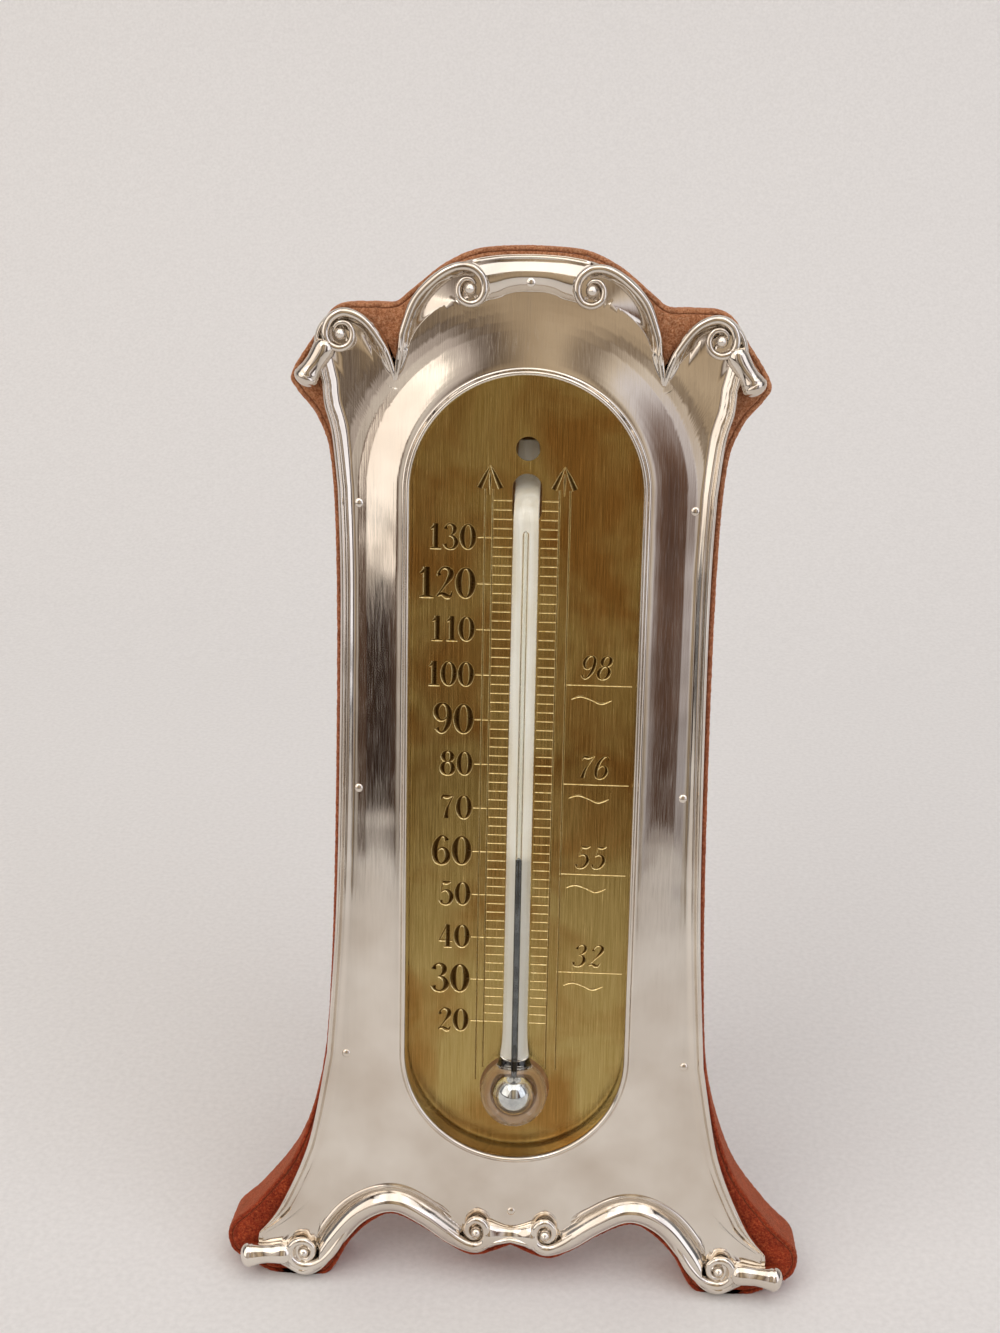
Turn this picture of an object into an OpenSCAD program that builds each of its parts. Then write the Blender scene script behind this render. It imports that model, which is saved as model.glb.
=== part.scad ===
/* [Silver front] */
// Height of the silver front, measured along the board
front_h = 186.5; // [176:0.5:224]
// Narrowest width of the silver front, at its waist
waist_w = 62.8; // [56:0.2:76]
// Width over the two corner horns at the top
head_w = 77.6; // [72:0.2:94]
// Width over the two foot horns
foot_w = 101.8; // [94:0.2:124]
// Width of the round-ended window
window_w = 38.8; // [32:0.2:47]
// Height of the round-ended window
window_h = 139.6; // [116:0.2:143]
// Height of the window's middle above the feet
window_mid_h = 97.1; // [94:0.1:99]
// Thickness of the silver sheet
sheet_t = 0.8; // [0.6:0.1:1.2]
// How far the silver's field stands off the velvet
field_rise = 2.4; // [1.6:0.1:4]
// Width of the rolled rim round the outline
rim_w = 1.2; // [0.8:0.1:1.4]
// How far the rolled rim stands above the field
rim_rise = 0.9; // [0.4:0.1:2]
// Diameter of the rounded bead round the window
bezel_d = 3.6; // [2.4:0.1:4.4]
// Shank diameter of the pins that hold the silver front
front_pin_d = 0.8; // [0.6:0.1:1.2]

/* [Board] */
// Thickness of the wooden board
board_t = 8; // [7:0.5:14]
// How far the covered board shows past the silver
board_margin = 1.2; // [0.6:0.1:3]
// Thickness of the velvet on the board
velvet_t = 0.8; // [0.4:0.1:1.4]
// Angle at which the board leans back
lean_deg = 12; // [8:0.5:16]

/* [Scale plate] */
// Thickness of the brass scale plate
plate_t = 1; // [0.8:0.1:1.6]
// How far the plate reaches under the silver
plate_lap = 2; // [1.4:0.1:3]
// Fahrenheit mark at the bottom of the scale
low_f = 20; // [0:10:40]
// Fahrenheit mark at the top of the scale
high_f = 138; // [120:2:150]
// Temperature that the mercury shows
reading_f = 60; // [40:1:90]

/* [Tube] */
// Diameter of the glass stem
stem_d = 4.4; // [3.6:0.1:5.4]
// Diameter of the bore
bore_d = 0.9; // [0.7:0.05:1.2]
// Diameter of the mercury in the bore
thread_d = 0.7; // [0.5:0.05:1]
// Outer diameter of the glass bulb
bulb_d = 12; // [9:0.2:13]
// Wall of the glass bulb
bulb_wall = 3.3; // [0.8:0.1:4]
// Distance from the window's lower end to the bulb's middle
bulb_up = 11.4; // [10.5:0.1:14]

/* [Strut] */
// Height of the hinge pin above the feet, along the board
hinge_h = 110; // [90:1:130]
// Angle between board and strut when it is open
open_deg = 25; // [20:0.5:32]
// Thickness of the strut's wooden core
strut_t = 3.8; // [3:0.1:6]
// Thickness of the velvet on the strut
strut_velvet_t = 0.5; // [0.3:0.1:0.8]
// Width of the strut at the hinge
strut_top_w = 22; // [21:0.5:30]
// Width of the strut at the floor
strut_foot_w = 46; // [38:0.5:60]
// Diameter of the hinge pin
pin_d = 1.6; // [1.2:0.1:2]
// Width of the hinge over its knuckles
hinge_w = 20; // [18:0.5:20.5]
// Thickness of the hinge leaves
leaf_t = 0.8; // [0.6:0.1:1]

/* [Hidden] */
$fn = 48;

// Depths are measured forwards from the scale plate's face, along the board's normal
half_waist = waist_w / 2;
half_head = head_w / 2;
half_foot = foot_w / 2;
field_n = velvet_t + field_rise;
rim_n = field_n + rim_rise;
field_in = 0.2;
seat_gap = 0.1;
outline_steps = 2;
// How far a cutter reaches past what it cuts, and a size that covers the whole object
over = 1;
big = 300;

window_bottom_h = window_mid_h - window_h / 2;
window_top_h = window_mid_h + window_h / 2;
window_straight = window_h - window_w;
bezel_path_r = (window_w + bezel_d) / 2;
bezel_rise = 0.3;
bezel_n = field_n + bezel_rise;
lip_t = 0.9;

// Scrolls: middle, ridge radius, ridge thickness and boss radius
crest_scroll = [10, front_h - 5.7];
corner_scroll = [half_head - 7.4, front_h - 13.4];
foot_scroll = [half_foot - 12.7, 5.6];
centre_scroll = [6.3, 11.2];
ridge_d = 1.6;
scroll_r = 2.8;
boss_r = 1.2;
corner_horn_tip = [half_head - 2, front_h - 21];
foot_horn_tip = [half_foot - 2.6, 4.4];
horn_rise = 2.2;
horn_n = velvet_t + horn_rise;
horn_waist_at = 0.6;
horn_tip_r = 2.1;
horn_waist_r = 1.7;
horn_root_r = 2.4;

// Places of the silver's pins, in the groove inside the rim
front_pin_from_rim = 2.3;
front_pin_in = rim_w + front_pin_from_rim;
front_pin_rows = [45, 95, 145];
front_pin_top_in = front_pin_in + 1;
front_pin_low_up = 4;
front_pin_head_d = 1.5;
front_pin_head_t = 0.3;
front_pin_deep = 5;

plate_w = window_w + 2 * plate_lap;
plate_h = window_h + 2 * plate_lap;
plate_pin_d = 1;
plate_pin_deep = 4;
plate_pin_below_arc = 4;
plate_pin_rise = window_straight / 2 - plate_pin_below_arc;

bulb_h = window_bottom_h + bulb_up;
low_mark_up = 12.6;
high_mark_down = 21.2;
low_mark_h = bulb_h + low_mark_up;
high_mark_h = window_top_h - high_mark_down;
degree_h = (high_mark_h - low_mark_h) / (high_f - low_f);
reading_h = low_mark_h + (reading_f - low_f) * degree_h;
stem_lift = 0.05;
stem_n = stem_d / 2 + stem_lift;
meniscus_h = 1;

// The stem bends back through a slot in the plate and ends behind a round hole
peep_down = 12.4;
peep_h = window_top_h - peep_down;
peep_d = 4.1;
slot_below_peep = 4.2;
slot_top_h = peep_h - slot_below_peep;
slot_clear = 0.3;
slot_w = stem_d + 2 * slot_clear;
bend_deg = 50;
bend_r = stem_d - 0.4;
bend_thin = 0.02;
behind_gap = 0.2;
behind_n = -plate_t - behind_gap - stem_d / 2;
bend_drop = 2 * bend_r * (1 - cos(bend_deg));
slant = (stem_n - behind_n - bend_drop) / sin(bend_deg);
bend_rise = 2 * bend_r * sin(bend_deg) + slant * cos(bend_deg);
bend_end_up = 0.2;
bend_start_h = slot_top_h + bend_end_up - bend_rise;
tip_taper = 0.5;
tip_r = stem_d / 2 - tip_taper;
tip_up = 1;
tip_h = peep_h + tip_up;
slot_below_bend = 0.6;
slot_bottom_h = bend_start_h - slot_below_bend;
bore_below_bend = 1;
bore_top_h = bend_start_h - bore_below_bend;
// The white strip is a flat ribbon in the glass, behind the bore
strip_w = stem_d * 0.62;
strip_t = 0.6;
strip_back = 0.85;
strip_above_bulb = 2;
strip_bottom_h = bulb_h + bulb_d / 2 + strip_above_bulb;
// The bulb draws in to the stem over a short neck
neck_d = bulb_d * 0.75;
neck_h = bulb_d / 2 + 0.1;
cavity_d = bulb_d - 2 * bulb_wall;
mercury_gap = 0.1;
thread_foot_up = 1;
thread_foot_h = bulb_h + cavity_d / 2 + thread_foot_up;

// Room for the bulb and for the tube's end, in the plate and in the board
bulb_hole_clear = 0.3;
bulb_pocket_clear = 0.5;
bulb_pocket_under = 0.25;
tube_pocket_clear = 0.6;
tube_pocket_under = 0.3;
tube_pocket_above = 1;
bulb_hole_d = bulb_d + 2 * bulb_hole_clear;
bulb_pocket_d = bulb_d + 2 * bulb_pocket_clear;
bulb_pocket_n = stem_n - bulb_d / 2 - bulb_pocket_under;
tube_pocket_w = stem_d + 2 * tube_pocket_clear;
tube_pocket_n = behind_n - stem_d / 2 - tube_pocket_under;
tube_pocket_top_h = tip_h + tip_r + tube_pocket_above;

// The hinge, placed from the back of the covered board
back_n = -board_t - velvet_t;
knuckle_wall = 1.1;
knuckle_r = pin_d / 2 + knuckle_wall;
fold_gap = 0.3;
pin_out = knuckle_r + fold_gap;
pin_clear = 0.05;
knuckle_gap = 0.3;
mid_knuckle_w = hinge_w * 0.4;
board_leaf_h = 12;
board_leaf_below = 0.8;
leaf_step = 0.4;
leaf_root = 1;
strut_leaf_in = 1;
pin_head_t = 0.6;
pin_head_out = 0.5;
pin_head_in = 0.2;
tongue_h = 6;
tongue_gap = 0.1;
screw_x = hinge_w * 0.32;
screw_up = 8.4;
screw_d = 1.5;
screw_head_d = 3;
screw_head_t = 0.5;
screw_deep = 5;
strut_leaf_h = 14;
rivet_x = 5;
rivet_down = 9.5;
rivet_d = 1.6;
rivet_head_d = 3.4;
rivet_head_t = 0.7;
rivet_head_top_d = rivet_head_d * 0.7;
strut_in = leaf_t - knuckle_r;
strut_out = strut_in + strut_t + 2 * strut_velvet_t;
strut_top_gap = 0.5;
strut_top_drop = knuckle_r + strut_top_gap;
strut_arch_r = 9;
strut_foot_over = 4;
swing_deg = open_deg - lean_deg;
pin_world_z = back_n * sin(lean_deg) - pin_out * sin(lean_deg) + hinge_h * cos(lean_deg);
pin_world_y = (pin_out - back_n) * cos(lean_deg) + hinge_h * sin(lean_deg);
strut_len = pin_world_z / cos(swing_deg) + strut_foot_over;

// The whole stands with its middle over the origin
y_front = foot_scroll[1] * sin(lean_deg) - horn_n * cos(lean_deg) - horn_root_r;
y_back = pin_world_y + pin_world_z * tan(swing_deg) + strut_out / cos(swing_deg);
y_shift = -(y_front + y_back) / 2;

// A smooth curve through points, with a given number of steps between two of them
function smooth_at(a, b, c, d, t) =
    0.5 * (2 * b + (c - a) * t + (2 * a - 5 * b + 4 * c - d) * t * t
           + (3 * b - a - 3 * c + d) * t * t * t);
function smooth(p, steps = outline_steps) = concat(
    [for (i = [0 : len(p) - 2]) for (s = [0 : steps - 1])
        smooth_at(p[max(i - 1, 0)], p[i], p[i + 1], p[min(i + 2, len(p) - 1)], s / steps)],
    [p[len(p) - 1]]);

// The right half of the silver's outline, in four curves that meet at corners
cusp = [22.3, front_h - 20.2];
crest_curve = smooth([[0, front_h], [6, front_h - 0.3], [11.5, front_h - 1.5],
    [16, front_h - 3.4], [19.5, front_h - 7.2], [21.7, front_h - 12.4], cusp]);
corner_curve = smooth([cusp, [23.8, front_h - 14.8], [26.4, front_h - 11],
    corner_scroll + [0, 4.2], corner_scroll + [3.4, 1.6], corner_scroll + [4.6, -3.9],
    corner_horn_tip + [1.8, 0.8], corner_horn_tip + [0.7, -2], corner_horn_tip + [-2, -2.2]]);
side_curve = smooth([[half_waist + 3, front_h - 24.4], [half_waist + 1.5, front_h - 30],
    [half_waist + 0.5, front_h - 39], [half_waist, front_h - 57], [half_waist + 0.3, front_h - 94],
    [half_waist + 1, 68], [half_waist + 2.5, 45], [half_foot - 13.6, 27.5],
    [half_foot - 8.2, 14.6], [half_foot - 3.6, 8.2]]);
foot_curve = smooth([foot_horn_tip + [1.6, 2.2], foot_horn_tip + [2.6, 0.5],
    foot_horn_tip + [0.7, -2.2], foot_horn_tip + [-3.6, -1.5], foot_scroll + [3, -4.4],
    foot_scroll + [0, -5.6], foot_scroll + [-3.6, -3.8], [30.8, 7.3], [26.8, 11.9],
    [21.9, 13.9], [16.8, 11.7], [11.3, 8], centre_scroll + [0.2, -4.8], [3.2, 8], [0, 8.9]]);
silver_half = concat(crest_curve, [for (i = [1 : len(corner_curve) - 1]) corner_curve[i]],
                     side_curve, foot_curve);
// Half the silver's width at a height between the horns
function side_x(h) = lookup(h, [for (p = side_curve) [p[1], p[0]]]);

// The right half of the velvet-covered board's outline
drawn_margin = 1.2;
board_grow = board_margin - drawn_margin;
board_notch = [22.8, front_h - 8.2];
board_top_curve = smooth([[0, front_h + 1.4], [8.5, front_h + 0.8], [14.5, front_h - 1.8],
    [19.8, front_h - 6], board_notch]);
board_side_curve = smooth([board_notch, [27, front_h - 8.3], corner_scroll + [1.1, 4.4],
    corner_scroll + [4.8, -0.6], corner_horn_tip + [3.2, 0.8], corner_horn_tip + [2.2, -2],
    [half_waist + 4.2, front_h - 27.4], [half_waist + 1.9, front_h - 35],
    [half_waist + 1, front_h - 55], [half_waist + 1.1, front_h - 90], [half_waist + 1.9, 62],
    [half_waist + 3.6, 41], [half_foot - 11, 24.5], [half_foot - 3.8, 14.2],
    [half_foot + 1.4, 8.8], [half_foot + 1.2, 4.2]]);
board_foot_curve = smooth([[half_foot - 2.4, 1.6], foot_scroll + [5, -6.4],
    foot_scroll + [0, -7], foot_scroll + [-4.6, -5.2], [30, 6.6], [26, 10.8], [21.9, 12.6],
    [16.4, 10.2], [11, 6.6], [6.4, 5], [0, 7.4]]);
board_half = concat(board_top_curve,
    [for (i = [1 : len(board_side_curve) - 1]) board_side_curve[i]], board_foot_curve);

// Both halves, going round the object once
function both_halves(half) = concat(half,
    [for (i = [len(half) - 2 : -1 : 1]) [-half[i][0], half[i][1]]]);
// Every point moved out along the outline's normal there
function grown(p, by) = [for (i = [0 : len(p) - 1])
    let (a = p[(i + len(p) - 1) % len(p)], b = p[(i + 1) % len(p)], d = b - a)
    p[i] + by * [-d[1], d[0]] / norm(d)];

silver_points = both_halves(silver_half);
board_points = grown(both_halves(board_half), board_grow);

module silver_shape(by = 0) polygon(grown(silver_points, by));
module board_shape(by = 0) polygon(grown(board_points, by));
module stadium(w, h, mid) {
    translate([0, mid + (h - w) / 2]) circle(d = w, $fn = 96);
    translate([0, mid - (h - w) / 2]) circle(d = w, $fn = 96);
    translate([-w / 2, mid - (h - w) / 2]) square([w, h - w]);
}

// Everything is drawn upright against the board and then leaned back
module lean() translate([0, y_shift, 0]) rotate([-lean_deg, 0, 0]) children();
module hinge_place() translate([0, pin_out - back_n, hinge_h]) children();
module strut_place() lean() hinge_place() rotate([open_deg, 0, 0]) children();
module above(z) intersection() {
    children();
    translate([-big / 2, -big / 2, z]) cube(big);
}
// A flat shape that reaches from one depth to another
module slab(from_n, to_n)
    translate([0, -from_n, 0]) rotate([90, 0, 0]) linear_extrude(to_n - from_n) children();
module peg(at, from_n, to_n, d)
    translate([at[0], -from_n, at[1]]) rotate([90, 0, 0]) cylinder(d = d, h = to_n - from_n);
module mirrored() {
    children();
    mirror([1, 0, 0]) children();
}

// Silver front
module scroll(at) translate([at[0], -field_n, at[1]]) rotate([90, 0, 0]) {
    rotate_extrude() translate([scroll_r, rim_rise / 2]) circle(d = ridge_d, $fn = 24);
    sphere(r = boss_r, $fn = 32);
}
module horn(root, tip) {
    d = tip - root;
    reach = norm(d);
    translate([root[0], -horn_n, root[1]]) rotate([0, atan2(d[0], d[1]), 0]) {
        cylinder(r1 = horn_root_r, r2 = horn_waist_r, h = reach * horn_waist_at);
        translate([0, 0, reach * horn_waist_at])
            cylinder(r1 = horn_waist_r, r2 = horn_tip_r, h = reach * (1 - horn_waist_at));
        translate([0, 0, reach]) sphere(r = horn_tip_r);
    }
}
module bezel_bead() {
    for (end = [-1, 1]) translate([0, -bezel_n, window_mid_h + end * window_straight / 2])
        rotate([90, end > 0 ? 0 : 180, 0])
            rotate_extrude(angle = 180) translate([bezel_path_r, 0]) circle(d = bezel_d, $fn = 32);
    mirrored() translate([bezel_path_r, -bezel_n, window_mid_h - window_straight / 2])
        cylinder(d = bezel_d, h = window_straight, $fn = 32);
}
module window_shape(by = 0) stadium(window_w + 2 * by, window_h + 2 * by, window_mid_h);
module window_hole(from_n, to_n, by = 0) slab(from_n, to_n) window_shape(by);
module front_pin_spots() {
    for (h = front_pin_rows, side = [-1, 1])
        translate([side * (side_x(h) - front_pin_in), 0, h]) children();
    translate([0, 0, front_h - front_pin_top_in]) children();
    translate([0, 0, centre_scroll[1] + front_pin_low_up]) children();
}
module silver_front() color("silver") above(0) lean() difference() {
    union() {
        slab(velvet_t, rim_n) difference() {
            silver_shape();
            silver_shape(-rim_w);
        }
        slab(field_n - sheet_t, field_n) silver_shape(-field_in);
        bezel_bead();
        window_hole(0, field_n, lip_t);
        mirrored() {
            scroll(crest_scroll);
            scroll(corner_scroll);
            scroll(foot_scroll);
            scroll(centre_scroll);
            horn(corner_scroll, corner_horn_tip);
            horn(foot_scroll, foot_horn_tip);
        }
    }
    window_hole(-over, rim_n + bezel_d);
    slab(-bezel_d, velvet_t) difference() {
        silver_shape(board_margin);
        window_shape(lip_t);
    }
    front_pin_spots() peg([0, 0], 0, rim_n, front_pin_d);
}
module front_pins() color("gainsboro") lean() front_pin_spots() {
    peg([0, 0], -front_pin_deep, field_n, front_pin_d);
    peg([0, 0], field_n, field_n + front_pin_head_t, front_pin_head_d);
}

// Velvet and board
module plate_recess(from_n, to_n)
    slab(from_n, to_n) stadium(plate_w + 2 * seat_gap, plate_h + 2 * seat_gap, window_mid_h);
module velvet_front() color("sienna") above(velvet_t) lean() difference() {
    slab(0, velvet_t) board_shape(-velvet_t);
    plate_recess(-over, velvet_t + over);
    front_pin_spots() peg([0, 0], -over, velvet_t + over, front_pin_d);
}
module board_core() above(velvet_t) lean()
    slab(-board_t, 0) board_shape(-velvet_t);
module velvet_edge() color("brown") above(0) difference() {
    lean() slab(back_n, velvet_t) board_shape();
    above(velvet_t) lean() slab(back_n - over, velvet_t + over) board_shape(-velvet_t);
}
module velvet_back() color("firebrick") above(velvet_t) lean() difference() {
    slab(back_n, -board_t) board_shape(-velvet_t);
    screw_spots() peg([0, 0], back_n - over, 0, screw_d);
}
module wood_board() color("burlywood") difference() {
    board_core();
    lean() {
        plate_recess(-plate_t, over);
        peg([0, bulb_h], bulb_pocket_n, over, bulb_pocket_d);
        translate([-tube_pocket_w / 2, 0, slot_bottom_h])
            cube([tube_pocket_w, -tube_pocket_n, tube_pocket_top_h - slot_bottom_h]);
        plate_pin_spots() peg([0, 0], -plate_t - plate_pin_deep, 0, plate_pin_d);
        front_pin_spots() peg([0, 0], -front_pin_deep, over, front_pin_d);
        screw_spots() peg([0, 0], back_n, back_n + screw_deep, screw_d);
    }
}

// Scale plate
module plate_pin_spots() for (side = [-1, 1], end = [-1, 1])
    translate([side * (window_w / 2 + plate_lap / 2), 0, window_mid_h + end * plate_pin_rise])
        children();
module scale_plate() color("darkgoldenrod") lean() difference() {
    slab(-plate_t, 0) stadium(plate_w, plate_h, window_mid_h);
    peg([0, bulb_h], -plate_t - over, over, bulb_hole_d);
    peg([0, peep_h], -plate_t - over, over, peep_d);
    slab(-plate_t - over, over)
        stadium(slot_w, slot_top_h - slot_bottom_h, (slot_top_h + slot_bottom_h) / 2);
    plate_pin_spots() peg([0, 0], -plate_t - over, over, plate_pin_d);
}
module plate_pins() color("goldenrod") lean()
    plate_pin_spots() peg([0, 0], -plate_t - plate_pin_deep, 0, plate_pin_d);

// Tube: the stem's path, seen from the side, is a straight, a bend back and a bend up
module stem_bend() rotate_extrude(angle = bend_deg)
    translate([bend_r, 0]) circle(d = stem_d - bend_thin);
module glass_solid() {
    translate([0, -stem_n, bulb_h]) {
        sphere(d = bulb_d, $fn = 64);
        cylinder(d1 = neck_d, d2 = stem_d, h = neck_h);
        cylinder(d = stem_d, h = bend_start_h - bulb_h);
    }
    slant_start = [bend_r * (1 - cos(bend_deg)), bend_r * sin(bend_deg)];
    translate([0, -stem_n + bend_r, bend_start_h]) rotate([90, 0, -90]) stem_bend();
    translate([0, -stem_n + slant_start[0], bend_start_h + slant_start[1]])
        rotate([-bend_deg, 0, 0]) cylinder(d = stem_d, h = slant);
    translate([0, -behind_n - bend_r, bend_start_h + bend_rise]) rotate([-90, 0, 90]) stem_bend();
    translate([0, -behind_n, bend_start_h + bend_rise])
        cylinder(d1 = stem_d, d2 = 2 * tip_r, h = tip_h - bend_start_h - bend_rise);
    translate([0, -behind_n, tip_h]) sphere(r = tip_r);
}
module strip_shape() translate([-strip_w / 2, strip_back - stem_n, strip_bottom_h])
    cube([strip_w, strip_t, bore_top_h - strip_bottom_h]);
module glass_tube() color("lightcyan", 0.4) lean() difference() {
    glass_solid();
    translate([0, -stem_n, bulb_h]) {
        sphere(d = cavity_d, $fn = 64);
        cylinder(d = bore_d, h = bore_top_h - bulb_h);
    }
    strip_shape();
}
module enamel_strip() color("white") lean() strip_shape();
module mercury_bulb() color("lightslategray") lean() translate([0, -stem_n, bulb_h]) {
    sphere(d = cavity_d - 2 * mercury_gap, $fn = 64);
    cylinder(d = thread_d, h = thread_foot_h - bulb_h);
}
module mercury_thread() color("slategray") lean() translate([0, -stem_n, thread_foot_h])
    cylinder(d = thread_d, h = reading_h - meniscus_h - thread_foot_h);
module mercury_meniscus() color("dimgray") lean() translate([0, -stem_n, reading_h - meniscus_h]) {
    cylinder(d = thread_d, h = meniscus_h - thread_d / 2);
    translate([0, 0, meniscus_h - thread_d / 2]) sphere(d = thread_d);
}

// Hinge: the board's leaf lies above the pin and the strut's leaf below it
module screw_spots() for (side = [-1, 1])
    translate([side * screw_x, 0, hinge_h + screw_up]) children();
module knuckle(from_x, to_x) translate([from_x, 0, 0]) rotate([0, 90, 0])
    cylinder(r = knuckle_r, h = to_x - from_x);
module pin_bore() translate([-hinge_w, 0, 0]) rotate([0, 90, 0])
    cylinder(r = pin_d / 2 + pin_clear, h = 2 * hinge_w);
module hinge_board_leaf() color("goldenrod") lean() difference() {
    hinge_place() difference() {
        union() {
            translate([-hinge_w / 2, -pin_out, -board_leaf_below])
                cube([hinge_w, leaf_t, board_leaf_h + board_leaf_below]);
            mirrored() knuckle(mid_knuckle_w / 2 + knuckle_gap, hinge_w / 2);
        }
        pin_bore();
        translate([-mid_knuckle_w / 2 - knuckle_gap, -pin_out - over, -knuckle_r - over])
            cube([mid_knuckle_w + 2 * knuckle_gap, leaf_t + 2 * over,
                  2 * knuckle_r + over + leaf_step]);
    }
    screw_spots() peg([0, 0], back_n - leaf_t - over, 0, screw_d);
}
module hinge_screws() color("gold") lean() screw_spots() {
    peg([0, 0], back_n - leaf_t, back_n + screw_deep, screw_d);
    peg([0, 0], back_n - leaf_t - screw_head_t, back_n - leaf_t, screw_head_d);
}
module hinge_pin() color("darkgray") lean() hinge_place() {
    translate([-hinge_w / 2, 0, 0]) rotate([0, 90, 0]) cylinder(d = pin_d, h = hinge_w);
    mirrored() translate([hinge_w / 2, 0, 0]) rotate([0, 90, 0])
        cylinder(r1 = pin_d / 2 + pin_head_out, r2 = pin_d / 2 - pin_head_in, h = pin_head_t);
}
module rivet_spots() for (side = [-1, 1]) translate([side * rivet_x, 0, -rivet_down]) children();
module rivet_bore() rivet_spots() translate([0, -knuckle_r - over, 0]) rotate([-90, 0, 0])
    cylinder(d = rivet_d, h = knuckle_r + strut_out + 2 * over);
module hinge_strut_leaf() color("goldenrod") {
    leaf_top = -knuckle_r - leaf_step;
    difference() {
        union() {
            strut_place() {
                knuckle(-mid_knuckle_w / 2, mid_knuckle_w / 2);
                translate([strut_leaf_in - hinge_w / 2, -knuckle_r, -strut_leaf_h])
                    cube([hinge_w - 2 * strut_leaf_in, leaf_t, strut_leaf_h + leaf_top]);
                translate([-mid_knuckle_w / 2, -knuckle_r, leaf_top - leaf_root])
                    cube([mid_knuckle_w, leaf_t, leaf_root - leaf_top]);
            }
            lean() hinge_place() translate([-mid_knuckle_w / 2, leaf_t + tongue_gap - pin_out, 0])
                cube([mid_knuckle_w, leaf_t, tongue_h]);
        }
        strut_place() {
            pin_bore();
            rivet_bore();
        }
    }
}
module hinge_rivets() color("gold") strut_place() rivet_spots() {
    translate([0, -knuckle_r, 0]) rotate([-90, 0, 0])
        cylinder(d = rivet_d, h = strut_out + knuckle_r);
    translate([0, strut_out, 0]) rotate([-90, 0, 0])
        cylinder(d1 = rivet_head_d, d2 = rivet_head_top_d, h = rivet_head_t);
}

// Strut: a waisted leg with an arch between its two feet
strut_half = smooth([[strut_top_w / 2, -strut_top_drop], [strut_top_w / 2 + 0.4, -20],
    [strut_top_w / 2 + 2.4, -50], [strut_foot_w / 2 - 5, 28 - strut_len],
    [strut_foot_w / 2 - 0.8, 10 - strut_len], [strut_foot_w / 2, -strut_len]], 4);
module strut_shape(by = 0) difference() {
    polygon(concat(strut_half, [for (i = [len(strut_half) - 1 : -1 : 0])
        [-strut_half[i][0], strut_half[i][1]]]));
    translate([0, strut_foot_over - strut_len]) circle(r = strut_arch_r, $fn = 64);
}
module strut_layer(from_y, to_y) above(0) strut_place() difference() {
    translate([0, to_y, 0]) rotate([90, 0, 0]) linear_extrude(to_y - from_y) strut_shape();
    rivet_bore();
}
module strut_board() color("tan")
    strut_layer(strut_in + strut_velvet_t, strut_out - strut_velvet_t);
module strut_velvet_outer() color("firebrick") strut_layer(strut_out - strut_velvet_t, strut_out);
module strut_velvet_inner() color("brown") strut_layer(strut_in, strut_in + strut_velvet_t);

silver_front();
front_pins();
velvet_front();
velvet_edge();
velvet_back();
wood_board();
scale_plate();
plate_pins();
glass_tube();
enamel_strip();
mercury_bulb();
mercury_thread();
mercury_meniscus();
hinge_board_leaf();
hinge_screws();
hinge_pin();
hinge_strut_leaf();
hinge_rivets();
strut_board();
strut_velvet_outer();
strut_velvet_inner();
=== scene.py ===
import math

import bmesh
import bpy
import numpy as np
from mathutils import Matrix, Vector, noise
from mathutils.kdtree import KDTree


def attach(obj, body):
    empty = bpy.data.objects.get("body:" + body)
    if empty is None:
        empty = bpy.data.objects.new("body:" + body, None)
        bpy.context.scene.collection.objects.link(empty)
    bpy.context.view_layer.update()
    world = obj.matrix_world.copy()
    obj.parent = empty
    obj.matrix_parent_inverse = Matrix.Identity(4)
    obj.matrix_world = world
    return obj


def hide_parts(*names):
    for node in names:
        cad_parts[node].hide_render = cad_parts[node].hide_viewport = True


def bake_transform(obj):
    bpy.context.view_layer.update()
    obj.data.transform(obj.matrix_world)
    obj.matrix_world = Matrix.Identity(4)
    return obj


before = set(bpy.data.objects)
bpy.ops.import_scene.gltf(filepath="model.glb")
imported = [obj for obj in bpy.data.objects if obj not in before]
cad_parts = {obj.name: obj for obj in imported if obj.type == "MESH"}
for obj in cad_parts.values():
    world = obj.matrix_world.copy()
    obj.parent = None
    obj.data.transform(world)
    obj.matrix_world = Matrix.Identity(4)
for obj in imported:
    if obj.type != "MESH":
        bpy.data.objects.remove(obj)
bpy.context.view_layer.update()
bpy.ops.object.select_all(action="DESELECT")

# Sizes in millimetres, as in the part. Places on the board are given across, forwards from the
# scale plate's face, and up the board's face
MM = 0.001
LEAN = math.radians(12)
OPEN = math.radians(25)
Y_SHIFT = -28.785
WINDOW_R = 19.4
WINDOW_MID = 97.1
WINDOW_STRAIGHT = 100.8
BACK_N = -8.8
BULB_H = 38.7
STEM_N = 2.25
STEM_R = 2.2
HINGE_H = 110
PIN_OUT = 2.2
LOW_MARK_H = 51.3
DEGREE_H = 0.8
# The glass tube bends back through the slot, runs up behind the plate and ends in the round hole
BEND_H = 142.03
BEND_R = 4
BEND = math.radians(50)
BEND_RISE = 8.471
BEHIND_N = -3.4
TIP_H = 155.5
CREST_PIN_N = 4.1
# The silver sheet's back, and its lowest places: the foot's corner and the floors of the scrolls
SHEET_N = 0.85
FOOT_CORNER = (45.6, 6.6)
FOOT_CORNER_N = 2.3
SCROLL_FLOOR_N = 2.5
SCROLLS = {"crest": (10, 180.8), "corner": (31.4, 173.1), "foot": (38.2, 5.6),
           "centre": (6.3, 11.2)}
# In metres: points of a mesh that are nearer than this are one
SAME_PLACE = 2e-6


# ---------------------------------------------------------------- places
def on_board(points):
    """Points given across, forwards and up the board, in mm, as places in metres."""
    x, n, h = np.asarray(points, float).reshape(-1, 3).T
    y = Y_SHIFT - n * math.cos(LEAN) + h * math.sin(LEAN)
    z = n * math.sin(LEAN) + h * math.cos(LEAN)
    return np.stack([x, y, z], axis=1) * MM


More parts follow.
